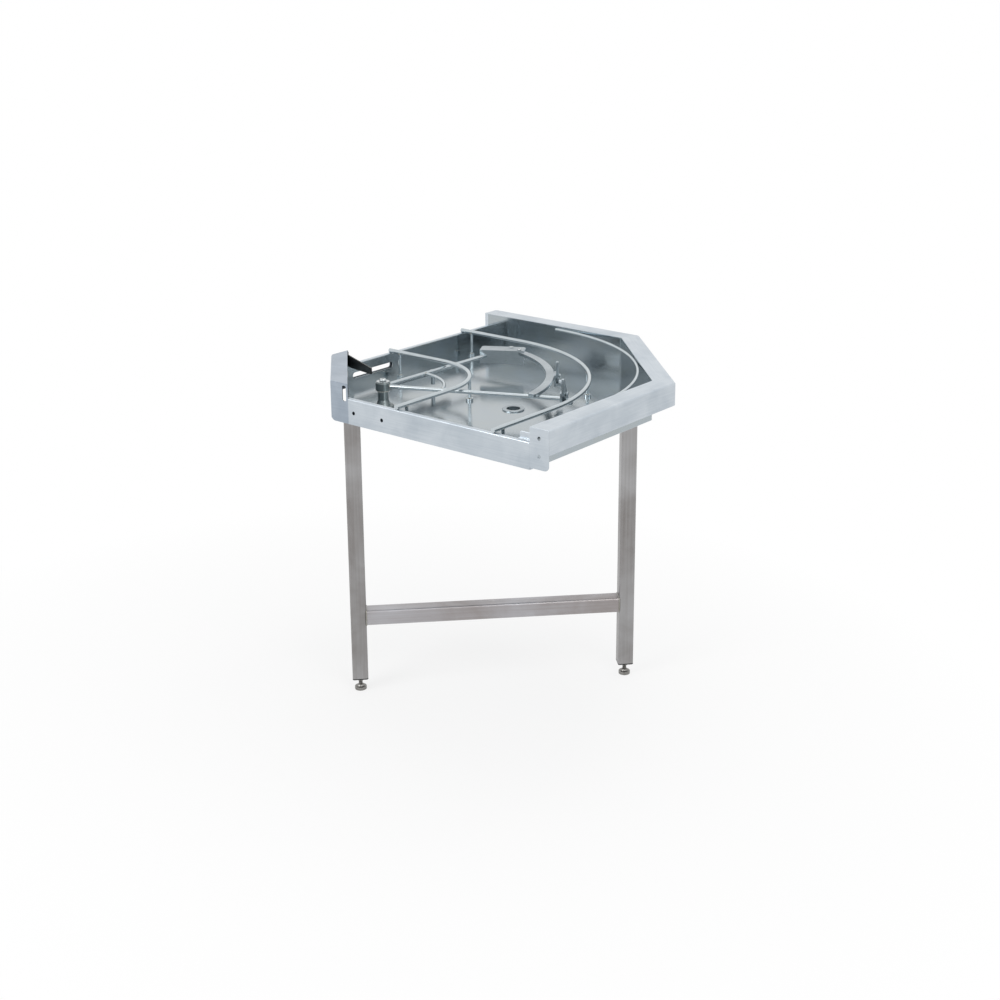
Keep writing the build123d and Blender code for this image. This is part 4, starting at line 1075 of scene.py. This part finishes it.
@dataclass
class Softener:
    """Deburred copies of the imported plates, so that their edges catch light.

    Attributes:
        fitter: puts the pieces on their bodies.
        finishes: the finishes.
    """

    fitter: Fitter
    finishes: Finishes

    def soften(self, node: str, width: float, finish: Steel | Plastic, body: str, slot: str,
               angle: float = 50.0) -> None:
        """Round a packed plate's edges on a merged copy.

        Args:
            node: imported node.
            width: rounding in millimetres.
            finish: its finish.
            body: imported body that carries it.
            slot: the record's material slot.
            angle: least angle of an edge that is rounded, in degrees.
        """
        twin = copied(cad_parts[node], Matrix.Identity(4))
        twin.name = f"{node}_deburred"
        twin.parent = None
        take(twin)
        bpy.ops.object.mode_set(mode="EDIT")
        bpy.ops.mesh.select_all(action="SELECT")
        bpy.ops.mesh.remove_doubles(threshold=0.004 * MM)
        bpy.ops.mesh.select_all(action="SELECT")
        bpy.ops.mesh.dissolve_limited(angle_limit=math.radians(0.6))
        bpy.ops.object.mode_set(mode="OBJECT")
        break_edges(twin, width, angle)
        smooth(twin)
        # Flat faces stay flat beside their rounded edges.
        modify(twin, "WEIGHTED_NORMAL", mode="FACE_AREA", weight=80, keep_sharp=True)
        self.fitter.fit(twin, finish, body, slot, node)

    def build(self) -> None:
        """Deburr every plate that shows."""
        f = self.finishes
        for node in ("swing_carrier", "swing_gusset", "drive_bar", "pawl_lug_1", "pawl_lug_2", "pawl_pin_1",
                     "pawl_pin_2", "drive_pin"):
            self.soften(node, 0.5, f.machined, "swing_frame", MACHINED)
        self.soften("pawl_1", 0.6, f.machined, "pawl_middle", MACHINED)
        self.soften("pawl_2", 0.6, f.machined, "pawl_exit", MACHINED)
        for node in ("rim_end_front", "rim_end_left"):
            self.soften(node, 0.45, f.rim, "tray", SHEET)
        for node in ("guard_end_front", "guard_end_left"):
            self.soften(node, 0.45, f.guard, "tray", SHEET)
        self.soften("sill_stop", 0.8, f.rim, "tray", SHEET)
        self.soften("guide_blade", 0.6, f.blade, "tray", "black_plastic")
        self.soften("drain_nut", 0.8, f.nylon, "tray", "black_plastic")
        self.soften("pivot_washer", 0.4, f.fastener, "tray", MACHINED)


@dataclass(frozen=True)
class PhotoCamera:
    """Camera of the photograph, from a fit of the drawing's edges to the picture.

    Attributes:
        focal_px: focal length in pixels of the 1000 pixel frame.
        centre_px: where the optical axis meets the picture.
        position_mm: place in the drawing.
        yaw_deg: turn from looking along +Y towards -X.
        pitch_deg: tilt below the horizon.
        roll_deg: turn about the optical axis.
    """

    focal_px: float = 1520.189
    centre_px: tuple[float, float] = (572.416, 388.534)
    position_mm: tuple[float, float, float] = (2688.191, -2416.336, 1815.114)
    yaw_deg: float = 36.786
    pitch_deg: float = 15.755
    roll_deg: float = 0.404

    def build(self) -> bpy.types.Object:
        """Make the camera and set it as the scene's.

        Returns:
            The camera object.
        """
        bpy.ops.object.camera_add(location=row(*self.position_mm))
        camera = bpy.context.object
        camera.name = "photo_camera"
        camera.rotation_mode = "XYZ"
        camera.rotation_euler = (math.radians(90.0 - self.pitch_deg), 0.0, math.radians(self.yaw_deg))
        bpy.context.view_layer.update()
        camera.rotation_mode = "QUATERNION"
        level = camera.matrix_world.to_quaternion()
        axis = level @ Vector((0.0, 0.0, -1.0))
        camera.rotation_quaternion = Quaternion(axis, -math.radians(self.roll_deg)) @ level
        lens = camera.data
        lens.sensor_fit = "HORIZONTAL"
        lens.sensor_width = 36.0
        lens.lens = self.focal_px * lens.sensor_width / PHOTO_SIDE
        lens.shift_x = (PHOTO_SIDE / 2 - self.centre_px[0]) / PHOTO_SIDE
        lens.shift_y = (self.centre_px[1] - PHOTO_SIDE / 2) / PHOTO_SIDE
        lens.clip_start, lens.clip_end = 0.05, 60.0
        bpy.context.scene.camera = camera
        return camera


@dataclass(frozen=True)
class Studio:
    """Pale floor, soft lamps and a white surround.

    Attributes:
        floor_side: side of the floor in metres.
        floor_colour: sRGB hex of the floor.
    """

    floor_side: float = 60.0
    floor_colour: str = "f4f4f4"

    def seen(self, tree: bpy.types.NodeTree) -> bpy.types.NodeSocket:
        """Tell what is seen, also in metal, from what only lights the object.

        Args:
            tree: nodes of the material or the world.

        Returns:
            1 for a camera ray or a reflection, 0 for light.
        """
        rays = add(tree, "ShaderNodeLightPath")
        direct = add(tree, "ShaderNodeMath", {0: rays.outputs["Is Camera Ray"], 1: rays.outputs["Is Glossy Ray"]},
                     operation="ADD", use_clamp=True)
        return add(tree, "ShaderNodeMath", {0: direct.outputs[0], 1: rays.outputs["Is Transmission Ray"]},
                   operation="ADD", use_clamp=True).outputs[0]

    def world(self) -> None:
        """White to the camera and in reflections, softer as a light."""
        world = bpy.data.worlds.new("white_surround")
        bpy.context.scene.world = world
        world.use_nodes = True
        tree = world.node_tree
        tree.nodes.clear()
        strength = add(tree, "ShaderNodeMapRange", {"Value": self.seen(tree), "To Min": 0.55, "To Max": 1.0})
        back = add(tree, "ShaderNodeBackground", {"Color": (1, 1, 1, 1), "Strength": strength.outputs[0]})
        add(tree, "ShaderNodeOutputWorld", {"Surface": back.outputs[0]})

    def floor(self) -> bpy.types.Object:
        """Lay the floor.

        Returns:
            The floor object.
        """
        bpy.ops.mesh.primitive_plane_add(size=self.floor_side, location=(0.0, 0.0, CAD_BOX[0].z))
        ground = bpy.context.object
        ground.name = "studio_floor"
        material = bpy.data.materials.new("white_paper")
        material.use_nodes = True
        tree = material.node_tree
        shader = tree.nodes["Principled BSDF"]
        shader.inputs["Base Color"].default_value = linear(self.floor_colour)
        shader.inputs["Roughness"].default_value = 0.9
        out = tree.nodes["Material Output"]
        glow = add(tree, "ShaderNodeEmission", {"Color": (1, 1, 1, 1), "Strength": 1.0})
        # Near the object the floor keeps its shadow; further out it goes over into the white surround.
        place = add(tree, "ShaderNodeTexCoord").outputs["Object"]
        away = add(tree, "ShaderNodeVectorMath", {0: place}, operation="LENGTH")
        fade = add(tree, "ShaderNodeMapRange", {"Value": away.outputs["Value"], "From Min": 0.5, "From Max": 1.6,
                                                "To Min": 0.76, "To Max": 1.0})
        share = add(tree, "ShaderNodeMath", {0: self.seen(tree), 1: fade.outputs[0]},
                    operation="MULTIPLY")
        mix = add(tree, "ShaderNodeMixShader", {0: share.outputs[0], 1: shader.outputs[0], 2: glow.outputs[0]})
        tree.links.new(mix.outputs[0], out.inputs["Surface"])
        ground.data.materials.append(material)
        return ground

    def lamp(self, name: str, place: tuple[float, float, float], size: float, watts: float) -> bpy.types.Object:
        """Hang a soft square lamp that looks at the tray.

        Args:
            name: the lamp's name.
            place: its place in metres, in the row frame.
            size: side in metres.
            watts: power.

        Returns:
            The lamp object.
        """
        bpy.ops.object.light_add(type="AREA", location=place)
        lamp = bpy.context.object
        lamp.name = name
        lamp.data.size = size
        lamp.data.energy = watts
        aim = Vector((0.1, 0.4, -0.2)) - Vector(place)
        lamp.rotation_mode = "QUATERNION"
        lamp.rotation_quaternion = aim.to_track_quat("-Z", "Y")
        return lamp

    def build(self) -> None:
        """Set the whole studio."""
        self.world()
        self.floor()
        self.lamp("soft_key", (-0.9, -3.0, 1.5), 2.0, 62.0)
        self.lamp("soft_fill", (2.8, -0.8, 1.5), 1.6, 22.0)
        self.lamp("soft_top", (0.2, 0.8, 2.8), 2.0, 16.0)


def main() -> None:
    """Build and dress the corner section."""
    logging.basicConfig(level=logging.INFO)
    bpy.context.scene.view_settings.view_transform = "Standard"
    finishes = Finishes()
    fitter = Fitter(Dresser(finishes).dress())
    Fasteners(fitter, finishes).build()
    Feet(fitter, finishes).build()
    Welds(fitter, finishes).build()
    Softener(fitter, finishes).build()
    PhotoCamera().build()
    Studio().build()


if __name__ == "__main__":
    main()
